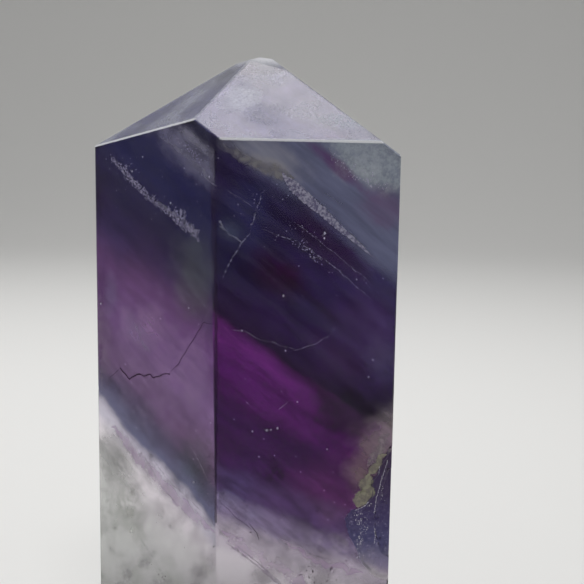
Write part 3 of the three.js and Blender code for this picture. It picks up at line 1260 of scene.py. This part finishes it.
@dataclass
class PocketCrust:
    """The broken surface of the pocket beside the front face's right edge.

    rim and step are the outlines of its two ledges, as (distance in from the edge, height) in mm,
    with the depths of their floors, and the floors' tilts and the walls' widths as the solid has
    them. clear is the gap between the crust and those walls, margin how far the crust runs out over
    the polish, and film how far it lies above the solid. jitter, lump and splinter give the broken
    relief's reach or height and its size. side_slope is how far the stone's right face runs in for
    each mm of depth.
    """

    rim: tuple[Pair, ...] = (
        (-0.6, 39.1), (0.15, 38.9), (1.2, 37.2), (1.45, 36.2), (2.15, 35.5), (2.0, 33.8), (3.0, 32.4),
        (4.2, 32.1), (4.8, 31.2), (4.3, 29.5), (3.5, 28.0), (2.9, 26.2), (1.4, 24.7), (-0.6, 24.2),
    )
    step: tuple[Pair, ...] = (
        (-0.6, 37.0), (0.4, 36.6), (1.15, 34.4), (1.35, 32.8), (1.7, 31.5), (1.5, 29.2), (0.9, 27.3),
        (-0.6, 26.4),
    )
    middle: tuple[Pair, Pair] = ((-0.2, 35.8), (-0.2, 27.6))
    depths: Pair = (0.34, 0.78)
    tilts: Pair = (2.2, 6.0)
    walls: Pair = (0.22, 0.30)
    clear: float = 0.12
    margin: float = 0.30
    film: float = 0.03
    jitter: float = 0.08
    jitter_size: float = 0.45
    lump_height: float = 0.10
    lump_size: float = 0.9
    splinter_height: float = 0.09
    splinter_size: float = 0.35
    highest: float = 0.045
    side_slope: float = 0.158
    rows_between: int = 7
    columns: int = 190
    seed: int = 5

    def floor(self, painted_wall_light: int, inset: Array) -> Array:
        """Returns a ledge's depth at a distance in from the edge: depth - inset * tan(tilt)."""
        return self.depths[painted_wall_light] - inset * math.tan(math.radians(self.tilts[painted_wall_light]))

    def rings(self) -> list[tuple[Array, Array]]:
        """Returns the key rings from the margin inwards, each as (inset, height) points and depths."""
        rim = resampled(np.array(self.rim), self.columns)
        step = resampled(np.array(self.step), self.columns)
        inward_rim, inward_step = -sideways(rim), -sideways(step)
        half = self.columns // 2
        if inward_rim[half] @ (rim.mean(axis=0) - rim[half]) < 0:
            inward_rim, inward_step = -inward_rim, -inward_step
        foot = rim + inward_rim * (self.walls[0] + self.clear)
        well = step + inward_step * (self.walls[1] + self.clear)
        middle = np.linspace(*self.middle, self.columns)
        return [
            (rim - inward_rim * self.margin, np.full(self.columns, -0.012)),
            (rim, np.full(self.columns, 0.0)),
            (foot, self.floor(0, foot[:, 0])),
            (step - inward_step * 0.03, self.floor(0, step[:, 0])),
            (well, self.floor(1, well[:, 0])),
            (middle, self.floor(1, middle[:, 0])),
        ]

    def surface(self) -> tuple[Array, Array]:
        """Works out the crust: straight runs between the key rings, with broken relief pushed outwards.

        Returns:
            The grid of (inset from the right edge, height) and the grid of depths, in mm.
        """
        random = np.random.default_rng(self.seed)
        keys = self.rings()
        share = np.arange(self.rows_between) / self.rows_between
        inner = keys[-1]
        rows = [(a[None] + share[:, None, None] * (b - a), d[None] + share[:, None] * (e - d))
                for (a, d), (b, e) in zip(keys[:-1], keys[1:])]
        flat = np.concatenate([row for row, _ in rows] + [inner[0][None]])
        depth = np.concatenate([row for _, row in rows] + [inner[1][None]]) - self.film
        ring = np.linspace(0.0, len(keys) - 1.0, len(flat))[:, None]
        jitter = np.stack([lattice_noise(flat + 7.0 * k, self.jitter_size, random) for k in (1, 2)], axis=-1)
        flat = flat + jitter * self.jitter * np.clip(ring, 0.0, 1.0)[..., None]
        lumps = 0.5 + 0.5 * lattice_noise(flat, self.lump_size, random)
        splinters = np.abs(lattice_noise(flat * (1.0, 0.6), self.splinter_size, random))
        relief = self.lump_height * lumps + self.splinter_height * splinters
        depth = np.maximum(depth - relief * np.clip(2.0 * ring - 1.6, 0.0, 1.0), -self.highest)
        inset = np.maximum(flat[..., 0], self.film - self.side_slope * np.maximum(depth, 0.0))
        return np.stack([inset, flat[..., 1]], axis=-1), depth

    def build(self, shape: StoneShape) -> tuple[Array, Array]:
        """Builds the crust, with a UV map whose V counts the key rings inwards.

        Args:
            shape: the stone's flats.

        Returns:
            The crust's (mm along the face, height), in rows of 2, and its depths in mm.
        """
        flat, depth = self.surface()
        flat[..., 0] = shape.right_edge() - flat[..., 0]
        points = inside_box(shape.face(Face.FRONT).place(flat[..., 0], flat[..., 1], -depth))
        rows, columns = depth.shape
        rings = np.arange(rows)[:, None] / self.rows_between
        uv = np.stack(np.broadcast_arrays(np.linspace(0.0, 1.0, columns), rings), axis=-1)
        mesh = make_mesh("pocket_crust", points, grid_quads(rows, columns), "crust", uv)
        mesh.shade_flat()
        stone_piece(mesh, RoughPocketFinish().material())
        return flat.reshape(-1, 2), depth.ravel()


@dataclass
class BrightGrains:
    """Small bright grains caught in the two broad faces and on the pocket's crust, half sunk in them.

    A single grain has its face, its place along it and up, and its size, in mm. A spray has its face,
    its middle, how widely it scatters along and up, and how many grains it has. The lines and patches
    are seams and sprays of grains in the pocket, and stretch is the least and most that a grain is
    longer than its size along X, Y and Z.
    """

    seed: int = 11
    single: tuple[tuple[Face, float, float, float], ...] = (
        (Face.LEFT, 13.5, 67.2, 0.12), (Face.LEFT, 1.3, 67.0, 0.14), (Face.LEFT, 11.7, 68.8, 0.10),
        (Face.LEFT, 7.2, 64.1, 0.12), (Face.LEFT, 3.6, 34.6, 0.13), (Face.LEFT, 19.3, 52.0, 0.12),
        (Face.LEFT, 4.4, 53.3, 0.09), (Face.LEFT, 8.9, 51.6, 0.08), (Face.LEFT, 15.0, 45.6, 0.08),
        (Face.FRONT, 10.7, 61.5, 0.15), (Face.FRONT, 10.7, 61.0, 0.10), (Face.FRONT, 6.6, 55.1, 0.14),
        (Face.FRONT, 9.3, 59.1, 0.09), (Face.FRONT, 5.1, 41.0, 0.15), (Face.FRONT, 5.5, 41.05, 0.10),
        (Face.FRONT, 6.2, 41.2, 0.13), (Face.FRONT, 2.4, 51.5, 0.10), (Face.FRONT, 6.9, 49.4, 0.12),
        (Face.FRONT, 16.0, 48.4, 0.11), (Face.FRONT, 15.6, 46.6, 0.10), (Face.FRONT, 11.4, 38.9, 0.10),
        (Face.FRONT, 14.1, 56.8, 0.09), (Face.FRONT, 3.6, 40.9, 0.07), (Face.FRONT, 8.2, 44.0, 0.08),
    )
    sprays: tuple[tuple[Face, float, float, float, float, int], ...] = (
        (Face.LEFT, 14.0, 67.0, 2.2, 1.0, 26), (Face.LEFT, 6.0, 63.4, 2.0, 0.8, 16),
        (Face.LEFT, 3.4, 69.0, 1.6, 1.0, 16), (Face.FRONT, 7.4, 61.6, 1.0, 0.6, 16),
        (Face.FRONT, 9.4, 60.0, 0.7, 0.7, 20), (Face.FRONT, 3.6, 65.0, 0.4, 0.8, 8),
        (Face.FRONT, 13.4, 56.6, 1.4, 0.8, 8), (Face.FRONT, 16.0, 68.0, 1.6, 1.4, 30),
        (Face.FRONT, 8.0, 66.2, 1.4, 0.9, 14),
    )
    spray_size: Pair = (0.02, 0.055)
    scattered: int = 120
    scattered_size: Pair = (0.015, 0.045)
    scattered_over: tuple[Pair, Pair] = ((0.5, 24.0), (18.0, 69.0))
    lines: tuple[tuple[Pair, ...], ...] = (
        ((17.9, 37.5), (17.3, 35.5), (16.8, 33.4), (16.6, 31.7)),
        ((16.7, 30.1), (16.8, 29.2), (16.7, 28.4)),
        ((14.6, 32.2), (15.5, 32.6), (15.9, 33.1)),
        ((17.0, 37.0), (16.95, 36.1)),
    )
    seam_step: float = 0.075
    seam_stray: float = 0.025
    seam_size: Pair = (0.035, 0.065)
    patches: tuple[tuple[float, float, float, float, int], ...] = (
        (14.9, 31.5, 0.50, 0.40, 40), (15.4, 30.4, 0.35, 0.55, 50), (15.3, 28.9, 0.26, 0.50, 54),
        (15.0, 27.4, 0.20, 0.30, 14), (17.5, 33.6, 0.22, 0.60, 26), (16.2, 32.4, 0.20, 0.50, 14),
    )
    patch_size: Pair = (0.02, 0.08)
    stretch: tuple[Vec, Vec] = ((0.7, 0.35, 0.7), (1.3, 0.6, 1.5))

    def on_faces(self, shape: StoneShape, random: Random) -> tuple[list[Array], list[Array]]:
        """Returns the places, in metres, and sizes, in mm, of the grains in the two broad faces."""
        places, sizes = [], []
        for face in Face:
            chosen = np.array([row[1:] for row in self.single if row[0] is face])
            loose = random.uniform(*self.scattered_over, (self.scattered // 2, 2))
            both = np.concatenate([chosen[:, :2], loose])
            places.append(shape.face(face).place(both[:, 0], both[:, 1], 0.0))
            sizes += [chosen[:, 2], random.uniform(*self.scattered_size, len(loose))]
        for face, along, height, half_along, half_height, count in self.sprays:
            spray = random.normal((along, height), (half_along, half_height), (count, 2))
            places.append(shape.face(face).place(spray[:, 0], spray[:, 1], 0.0))
            sizes.append(random.uniform(*self.spray_size, count))
        return places, sizes

    def build(self, shape: StoneShape, crust: tuple[Array, Array]) -> SceneObject:
        """Builds all grains as one piece. Those of the pocket lie as deep as the crust's nearest corner.

        Args:
            shape: the stone's flats.
            crust: the crust's (mm along the front face, height), in rows of 2, and its depths.

        Returns:
            The piece.
        """
        random = np.random.default_rng(self.seed)
        places, sizes = self.on_faces(shape, random)
        beads = []
        for line in self.lines:
            count = max(4, int(np.linalg.norm(np.diff(line, axis=0), axis=1).sum() / self.seam_step))
            beads.append(resampled(np.array(line), count) + random.normal(0, self.seam_stray, (count, 2)))
            sizes.append(random.uniform(*self.seam_size, count))
        for along, height, half_along, half_height, count in self.patches:
            beads.append(random.normal((along, height), (half_along, half_height), (count, 2)))
            least, spread = self.patch_size
            sizes.append(least + spread * random.uniform(0.0, 1.0, count) ** 3)
        seams = np.concatenate(beads)
        flat, depth = crust
        nearest = np.linalg.norm(seams[:, None] - flat[None], axis=2).argmin(axis=1)
        places.append(shape.face(Face.FRONT).place(seams[:, 0], seams[:, 1], -depth[nearest]))
        middles, size = np.concatenate(places), np.concatenate(sizes)[:, None] * MM
        halves = size * random.uniform(*self.stretch, (len(size), 3))
        points, triangles = bipyramids(middles, halves, random.uniform(-0.5, 0.5, len(size)))
        mesh = make_mesh("bright_grains", inside_box(points), triangles)
        return stone_piece(mesh, GrainFinish().material())


@dataclass
class Studio:
    """A round cove of pale board, soft lights and the camera.

    camera_place is in mm, and pitch and roll are in degrees. Each of the boxes has its name, middle,
    aim, side and brightness.
    """

    floor_radius: float = 0.55
    cove_radius: float = 0.45
    wall_height: float = 0.75
    camera_place: Vec = (5.17, -113.85, 70.26)
    pitch: float = 8.35
    roll: float = 0.85
    focal_pixels: float = 1000.0
    picture_pixels: float = 584.0
    sensor: float = 36.0
    nearest: float = 0.005
    boxes: tuple[tuple[str, Vec, Vec, float, float], ...] = (
        ("overhead_box", (0.0, 0.10, 0.46), (0.0, 0.09, 0.0), 0.24, 8.4),
        ("front_box", (0.062, -0.25, 0.41), (0.0, 0.0, 0.07), 0.07, 13.5),
        ("left_box", (-0.36, 0.24, 0.28), (0.0, 0.0, 0.06), 0.16, 3.4),
        ("back_box", (0.0, 0.40, 0.62), (0.0, 0.80, 0.1), 0.30, 2.6),
    )
    surround: Colour = (0.97, 0.98, 1.0)
    surround_strength: float = 0.155

    def cove(self) -> None:
        """Builds floor and wall as one profile, flat, a quarter arc, then upright, carried round Z."""
        arc = np.linspace(0.0, math.pi / 2, 17)
        radius = np.concatenate([[0.0005, 0.1, 0.3], self.floor_radius + self.cove_radius * np.sin(arc)])
        height = np.concatenate([[0.0, 0.0, 0.0], self.cove_radius * (1.0 - np.cos(arc))])
        radius = np.append(radius, radius[-1])
        height = np.append(height, self.wall_height)
        turn = np.linspace(0.0, 2 * math.pi, 96, endpoint=False)
        points = np.stack([
            radius[:, None] * np.cos(turn),
            radius[:, None] * np.sin(turn),
            np.repeat(height[:, None], turn.size, axis=1),
        ], axis=-1)
        mesh = make_mesh("studio_cove", points, grid_quads(radius.size, turn.size, closed_across=True))
        mesh.shade_smooth()
        mesh.materials.append(PaleBoard().material())
        add_object("studio_cove", mesh)

    def soft_box(self, name: str, place: Vec, aim: Vec, size: float, radiance: float) -> None:
        """Adds a square area light of a given brightness.

        Args:
            name: the light's name.
            place: its middle, in metres.
            aim: the point it faces, in metres.
            size: its side, in metres.
            radiance: its brightness; the light's power follows from its area.
        """
        data = bpy.data.lights.new(name, "AREA")
        data.size = size
        data.energy = radiance * math.pi * size * size
        light = add_object(name, data)
        light.location = place
        light.rotation_euler = (Vector(aim) - Vector(place)).to_track_quat("-Z", "Y").to_euler()

    def lights(self) -> None:
        """Adds the soft boxes and the dim surrounding light."""
        for box in self.boxes:
            self.soft_box(*box)
        world = bpy.data.worlds.new("soft_surround")
        world.use_nodes = True
        background = world.node_tree.nodes["Background"]
        background.inputs["Color"].default_value = (*self.surround, 1.0)
        background.inputs["Strength"].default_value = self.surround_strength
        bpy.context.scene.world = world

    def camera(self) -> None:
        """Adds the camera: it looks along +Y, tipped down by pitch and turned a little by roll."""
        data = bpy.data.cameras.new("camera")
        data.sensor_width = self.sensor
        data.lens = self.focal_pixels / self.picture_pixels * self.sensor
        data.clip_start = self.nearest
        camera = add_object("camera", data)
        tip = Matrix.Rotation(math.radians(90.0 - self.pitch), 4, "X")
        turn = Matrix.Rotation(math.radians(self.roll), 4, "Z")
        camera.matrix_world = Matrix.Translation([v * MM for v in self.camera_place]) @ tip @ turn
        bpy.context.scene.camera = camera

    def build(self) -> None:
        """Builds the whole studio and sets how the picture is developed."""
        self.cove()
        self.lights()
        self.camera()
        scene = bpy.context.scene
        scene.view_settings.view_transform = "Standard"
        scene.cycles.use_denoising = True


FEATHER = StreakFinish("feather_frost", (0.82, 0.78, 0.96), (0.50, 0.45, 0.72), 0.86, 0.14, 0.35)
LAVENDER = StreakFinish("lavender_frost", (0.62, 0.60, 0.76), (0.20, 0.18, 0.32), 0.76, 0.34, 0.30, 0.16)
SOFT_LAVENDER = StreakFinish(
    "soft_lavender_frost", (0.48, 0.47, 0.60), (0.32, 0.30, 0.44), 0.40, 0.5, 0.60, 0.9)
SMOKY = StreakFinish("smoky_frost", (0.40, 0.385, 0.39), (0.25, 0.235, 0.27), 0.56, 0.9, 0.35, 0.95)
BEIGE = StreakFinish("beige_frost", (0.50, 0.45, 0.45), (0.34, 0.30, 0.33), 0.58, 0.5, 0.50, 0.9)
OLIVE = StreakFinish("olive_frost", (0.42, 0.41, 0.30), (0.27, 0.245, 0.215), 0.88, 0.7, 0.20, 0.5)
DOTTED = StreakFinish("dotted_line", (0.60, 0.58, 0.74), (0.36, 0.34, 0.48), 0.46, 0.22, 0.95, 0.9)
PALE_LINE = StreakFinish("pale_line", (0.56, 0.55, 0.66), (0.34, 0.32, 0.42), 0.38, 0.5, 0.8)
CRACK = StreakFinish("dark_crack", (0.020, 0.008, 0.022), (0.05, 0.02, 0.05), 0.90, 0.4, 0.45)
# Painted shade: a dark strip laid on the left face beside the front edge, where the edge's refraction shows
# dark.
PAINTED_EDGE_SHADE = StreakFinish("painted_edge_shade", (0.022, 0.008, 0.035), (0.030, 0.012, 0.045), 0.62, 2.0, 0.25, 0.6)
VIOLET_LINE = StreakFinish("violet_line", (0.22, 0.13, 0.28), (0.32, 0.24, 0.38), 0.42, 0.8, 0.6, 0.8)
ROSE_VEIL = StreakFinish("rose_veil", (0.56, 0.40, 0.62), (0.66, 0.52, 0.70), 0.52, 1.4, 0.4, 0.95)


# A streak in the front face, and one in the face left of it.
front = partial(Streak, Face.FRONT)
left = partial(Streak, Face.LEFT)


def feather(face: Face, path: tuple[Pair, ...], barbs: int, seed: int,
            heights: tuple[float, ...] = (0.6, 1.4, 1.5, 1.0, 1.1, 2.2, 1.6)) -> tuple[Streak, ...]:
    """Works out a feather: a dense dust of short upright barbs along a line, with a spiky upper outline.

    The barbs stand at random shares s of the line, more of them where the feather is high. A barb
    starts above path(s), up to the feather's height times a random factor that changes every
    third of a millimetre, and rises by a short random reach.

    Args:
        face: the face it lies in.
        path: the line, in (along, height) mm.
        barbs: how many barbs it has.
        seed: the seed of its random numbers.
        heights: the feather's height in mm at even steps along the line.

    Returns:
        The barbs.
    """
    random = np.random.default_rng(seed)
    even = np.linspace(0.0, 1.0, len(heights))
    tries = random.uniform(0.0, 1.0, barbs * 3)
    share = tries[random.uniform(0.0, max(heights), tries.size) < np.interp(tries, even, heights)][:barbs]
    corners = np.array(path)
    length = np.linalg.norm(np.diff(corners, axis=0), axis=1).sum()
    steps = max(4, int(length * 3.0))
    spikes = np.interp(share, np.linspace(0.0, 1.0, steps), random.uniform(0.25, 1.1, steps))
    high = np.interp(share, even, heights) * spikes
    line = resampled(corners, 200)
    foot = line[(share * 199).astype(int)] + random.normal(0.0, 0.07, (share.size, 2))
    foot[:, 1] += high * random.uniform(-0.25, 0.85, share.size)
    reach = random.uniform(0.06, 0.26, share.size) * (0.6 + 0.4 * high)
    lean = np.stack([random.normal(0.0, 0.4, share.size), random.uniform(0.5, 1.0, share.size)], axis=1)
    top = foot + lean * reach[:, None]
    width = random.uniform(0.05, 0.12, share.size)
    return tuple(
        Streak(face, (tuple(a), tuple(b)), (w, 0.4 * w), 0.02)
        for a, b, w in zip(foot.tolist(), top.tolist(), width.tolist())
    )


def flecks(face: Face, middle: Pair, spread: Pair, count: int, seed: int) -> tuple[Streak, ...]:
    """Works out short dark flecks scattered about a point.

    Args:
        face: the face they lie in.
        middle: the point, in (along, height) mm.
        spread: how widely they scatter along and up, in mm.
        count: how many there are.
        seed: the seed of their random numbers.

    Returns:
        The flecks.
    """
    random = np.random.default_rng(seed)
    start = random.normal(middle, spread, (count, 2))
    end = start + random.normal(0.0, 0.20, (count, 2))
    ends = zip(start.tolist(), end.tolist())
    return tuple(Streak(face, (tuple(a), tuple(b)), (0.15, 0.10), 0.02) for a, b in ends)


STREAK_SHEETS = (
    StreakSheet("feather_streaks", (
        *feather(Face.LEFT, ((17.2, 68.5), (14.0, 66.3), (10.6, 64.2), (6.5, 62.4), (2.8, 60.6)), 1100, 21),
        *feather(Face.LEFT, ((6.4, 70.6), (4.4, 69.6), (2.6, 68.3)), 46, 22, (0.3, 0.7, 0.5)),
        *feather(Face.FRONT, ((11.2, 69.4), (13.4, 67.2), (17.0, 65.9)), 90, 23, (0.8, 1.8, 1.6)),
        *feather(Face.FRONT, ((7.4, 60.6), (9.4, 58.9), (10.8, 58.2)), 26, 24, (0.8, 1.2, 0.8)),
    ), FEATHER),
    StreakSheet("lavender_streaks", (
        front(((6.3, 67.5), (7.4, 66.3), (9.0, 64.9), (11.5, 62.7), (13.4, 61.1), (16.2, 58.7)),
              (1.55, 0.10), 0.03),
    ), LAVENDER, proud=0.045),
    StreakSheet("soft_lavender_streaks", (
        left(((5.7, 71.6), (2.6, 70.0), (0.6, 68.7)), (0.8, 0.8), 0.08),
        left(((9.0, 71.0), (4.4, 69.0), (1.0, 66.6)), (0.5, 1.0), 0.08),
        left(((10.0, 64.4), (6.5, 62.9), (3.0, 61.1)), (0.4, 1.2), 0.12),
        left(((13.6, 50.6), (12.0, 48.8), (10.6, 47.6)), (0.7, 0.8), 0.14),
        front(((10.9, 70.2), (11.2, 69.5), (11.3, 68.7)), (0.25, 0.2), 0.03),
        # Painted glow: a soft bluish streak running down-right from the painted glint at the front edge.
        front(((0.1, 62.2), (1.3, 61.3), (2.6, 60.3)), (0.42, 0.2), 0.05),
    ), SOFT_LAVENDER),
    StreakSheet("smoky_streaks", (
        front(((0.4, 70.2), (2.4, 69.0), (4.0, 68.2), (6.3, 67.3), (7.6, 67.0)), (1.0, 2.0), 0.08),
    ), SMOKY),
    StreakSheet("beige_streaks", (
        front(((17.8, 40.6), (16.9, 38.6), (15.9, 36.9)), (1.2, 1.8), 0.1),
    ), BEIGE),
    StreakSheet("olive_streaks", (
        front(((17.6, 38.4), (16.8, 37.2), (16.0, 36.1)), (0.5, 1.4), 0.1),
        front(((16.1, 36.1), (15.6, 34.9), (15.2, 33.6), (14.8, 32.5)), (1.5, 2.1), 0.15),
    ), OLIVE, proud=0.045),
    StreakSheet("pale_lines", (
        left(((3.2, 67.6), (1.0, 66.4), (0.2, 66.1)), (0.12, 0.12), 0.03),
        front(((0.9, 65.7), (3.3, 64.2)), (0.12, 0.10), 0.03),
        # Painted highlight: a short whitish glint at the very front edge.
        front(((0.1, 62.7), (0.6, 61.9)), (0.36, 0.08), 0.02, False),
        front(((0.4, 51.8), (2.6, 51.4), (4.5, 50.5), (7.9, 49.5), (9.9, 50.0), (11.5, 51.2), (12.5, 52.4)),
              (0.07, 0.12), 0.08),
        front(((9.4, 58.9), (10.1, 59.1), (10.5, 58.8)), (0.20, 0.16), 0.03),
        front(((10.7, 61.6), (10.5, 61.2)), (0.28, 0.22), 0.01),
        front(((4.7, 41.1), (5.4, 41.0)), (0.20, 0.14), 0.02),
        front(((6.3, 43.2), (7.3, 44.1)), (0.10, 0.07), 0.03),
        left(((4.4, 39.0), (2.6, 36.8), (0.8, 34.8)), (0.08, 0.06), 0.03),
    ), PALE_LINE, proud=0.050),
    StreakSheet("dotted_lines", (
        front(((4.6, 65.9), (3.8, 63.8), (3.5, 62.5), (3.2, 61.6)), (0.14, 0.30), 0.06),
        front(((3.2, 61.6), (2.3, 60.4), (1.0, 58.2), (0.4, 56.8)), (0.26, 0.16), 0.04),
        front(((4.2, 61.9), (8.2, 60.5), (10.3, 59.1), (12.4, 57.6), (15.7, 54.7)), (0.14, 0.16), 0.05),
        front(((7.6, 62.6), (11.0, 60.1), (15.4, 56.6)), (0.12, 0.14), 0.05),
        front(((0.8, 64.2), (2.6, 63.3)), (0.10, 0.14), 0.05),
    ), DOTTED, proud=0.050),
    StreakSheet("dark_cracks", (
        left(((18.2, 43.3), (16.0, 44.9)), (0.04, 0.10), 0.03),
        left(((16.0, 44.9), (15.3, 44.6), (14.6, 44.3), (13.5, 44.5), (12.5, 44.9), (11.6, 44.7),
              (10.7, 45.2), (10.1, 44.9), (8.6, 45.5), (7.4, 45.9)), (0.22, 0.18), 0.10, False),
        left(((7.4, 45.9), (5.9, 47.3), (4.2, 49.4), (3.0, 51.0), (1.9, 52.1), (0.9, 52.0), (0.2, 51.9)),
             (0.13, 0.07), 0.06),
        front(((3.2, 31.1), (4.2, 29.9), (4.4, 28.9)), (0.08, 0.10), 0.05),
        front(((0.2, 33.4), (2.0, 31.6), (3.7, 30.2)), (0.06, 0.08), 0.05),
        *flecks(Face.FRONT, (10.8, 25.4), (1.7, 1.0), 22, 31),
        *flecks(Face.FRONT, (3.4, 29.4), (1.8, 0.8), 5, 32),
        *flecks(Face.LEFT, (8.4, 22.4), (0.5, 0.3), 5, 33),
    ), CRACK, proud=0.050),
    # Painted shade: the dark strip on the left face beside the front edge.
    StreakSheet("painted_edge_shade", (
        left(((0.34, 63.0), (0.28, 52.0)), (0.10, 0.62), 0.0, False),
        left(((0.28, 52.0), (0.20, 31.0)), (0.62, 0.44), 0.0, False),
    ), PAINTED_EDGE_SHADE, proud=0.045),
    StreakSheet("violet_lines", (
        left(((13.1, 36.5), (11.5, 35.3), (10.0, 33.9), (7.8, 32.3), (5.8, 31.1)), (0.10, 0.16), 0.05),
        left(((11.3, 36.6), (8.1, 34.0), (4.2, 32.5), (1.4, 31.3)), (0.08, 0.16), 0.06),
        left(((13.2, 26.1), (10.6, 24.3), (8.2, 22.2)), (0.10, 0.10), 0.04),
        front(((0.8, 29.0), (3.7, 26.7), (6.1, 24.6), (8.4, 22.4)), (0.25, 0.45), 0.02),
        front(((2.0, 28.6), (4.7, 26.2), (6.9, 24.1)), (0.16, 0.30), 0.02),
        front(((8.1, 28.0), (10.4, 27.2), (12.3, 26.7)), (0.16, 0.24), 0.02),
    ), VIOLET_LINE),
    StreakSheet("rose_veils", (
        left(((17.6, 38.0), (11.7, 34.8), (8.3, 33.0), (4.6, 31.4), (0.3, 29.9)), (2.3, 2.7), 0.12),
        front(((0.4, 30.2), (3.1, 28.2), (5.2, 26.7), (7.4, 25.3), (10.0, 23.5)), (1.9, 2.3), 0.12),
        front(((6.4, 29.4), (10.6, 26.6), (15.6, 25.2)), (0.5, 1.6), 0.12),
    ), ROSE_VEIL, proud=0.035),
)


def main() -> None:
    """Builds the stone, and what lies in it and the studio."""
    logging.basicConfig(level=logging.INFO, format="%(message)s")
    shape = StoneShape()
    flats = StoneFlats(shape).group()
    PolishedStone().build(PolishedFluorite().material(ColourZones(shape).group(), flats))
    MilkySkin().build(bloom_material(MilkyBloom(shape).group(flats)))
    for sheet in STREAK_SHEETS:
        sheet.build(shape)
    BrightGrains().build(shape, PocketCrust().build(shape))
    Studio().build()


if __name__ == "__main__":
    main()
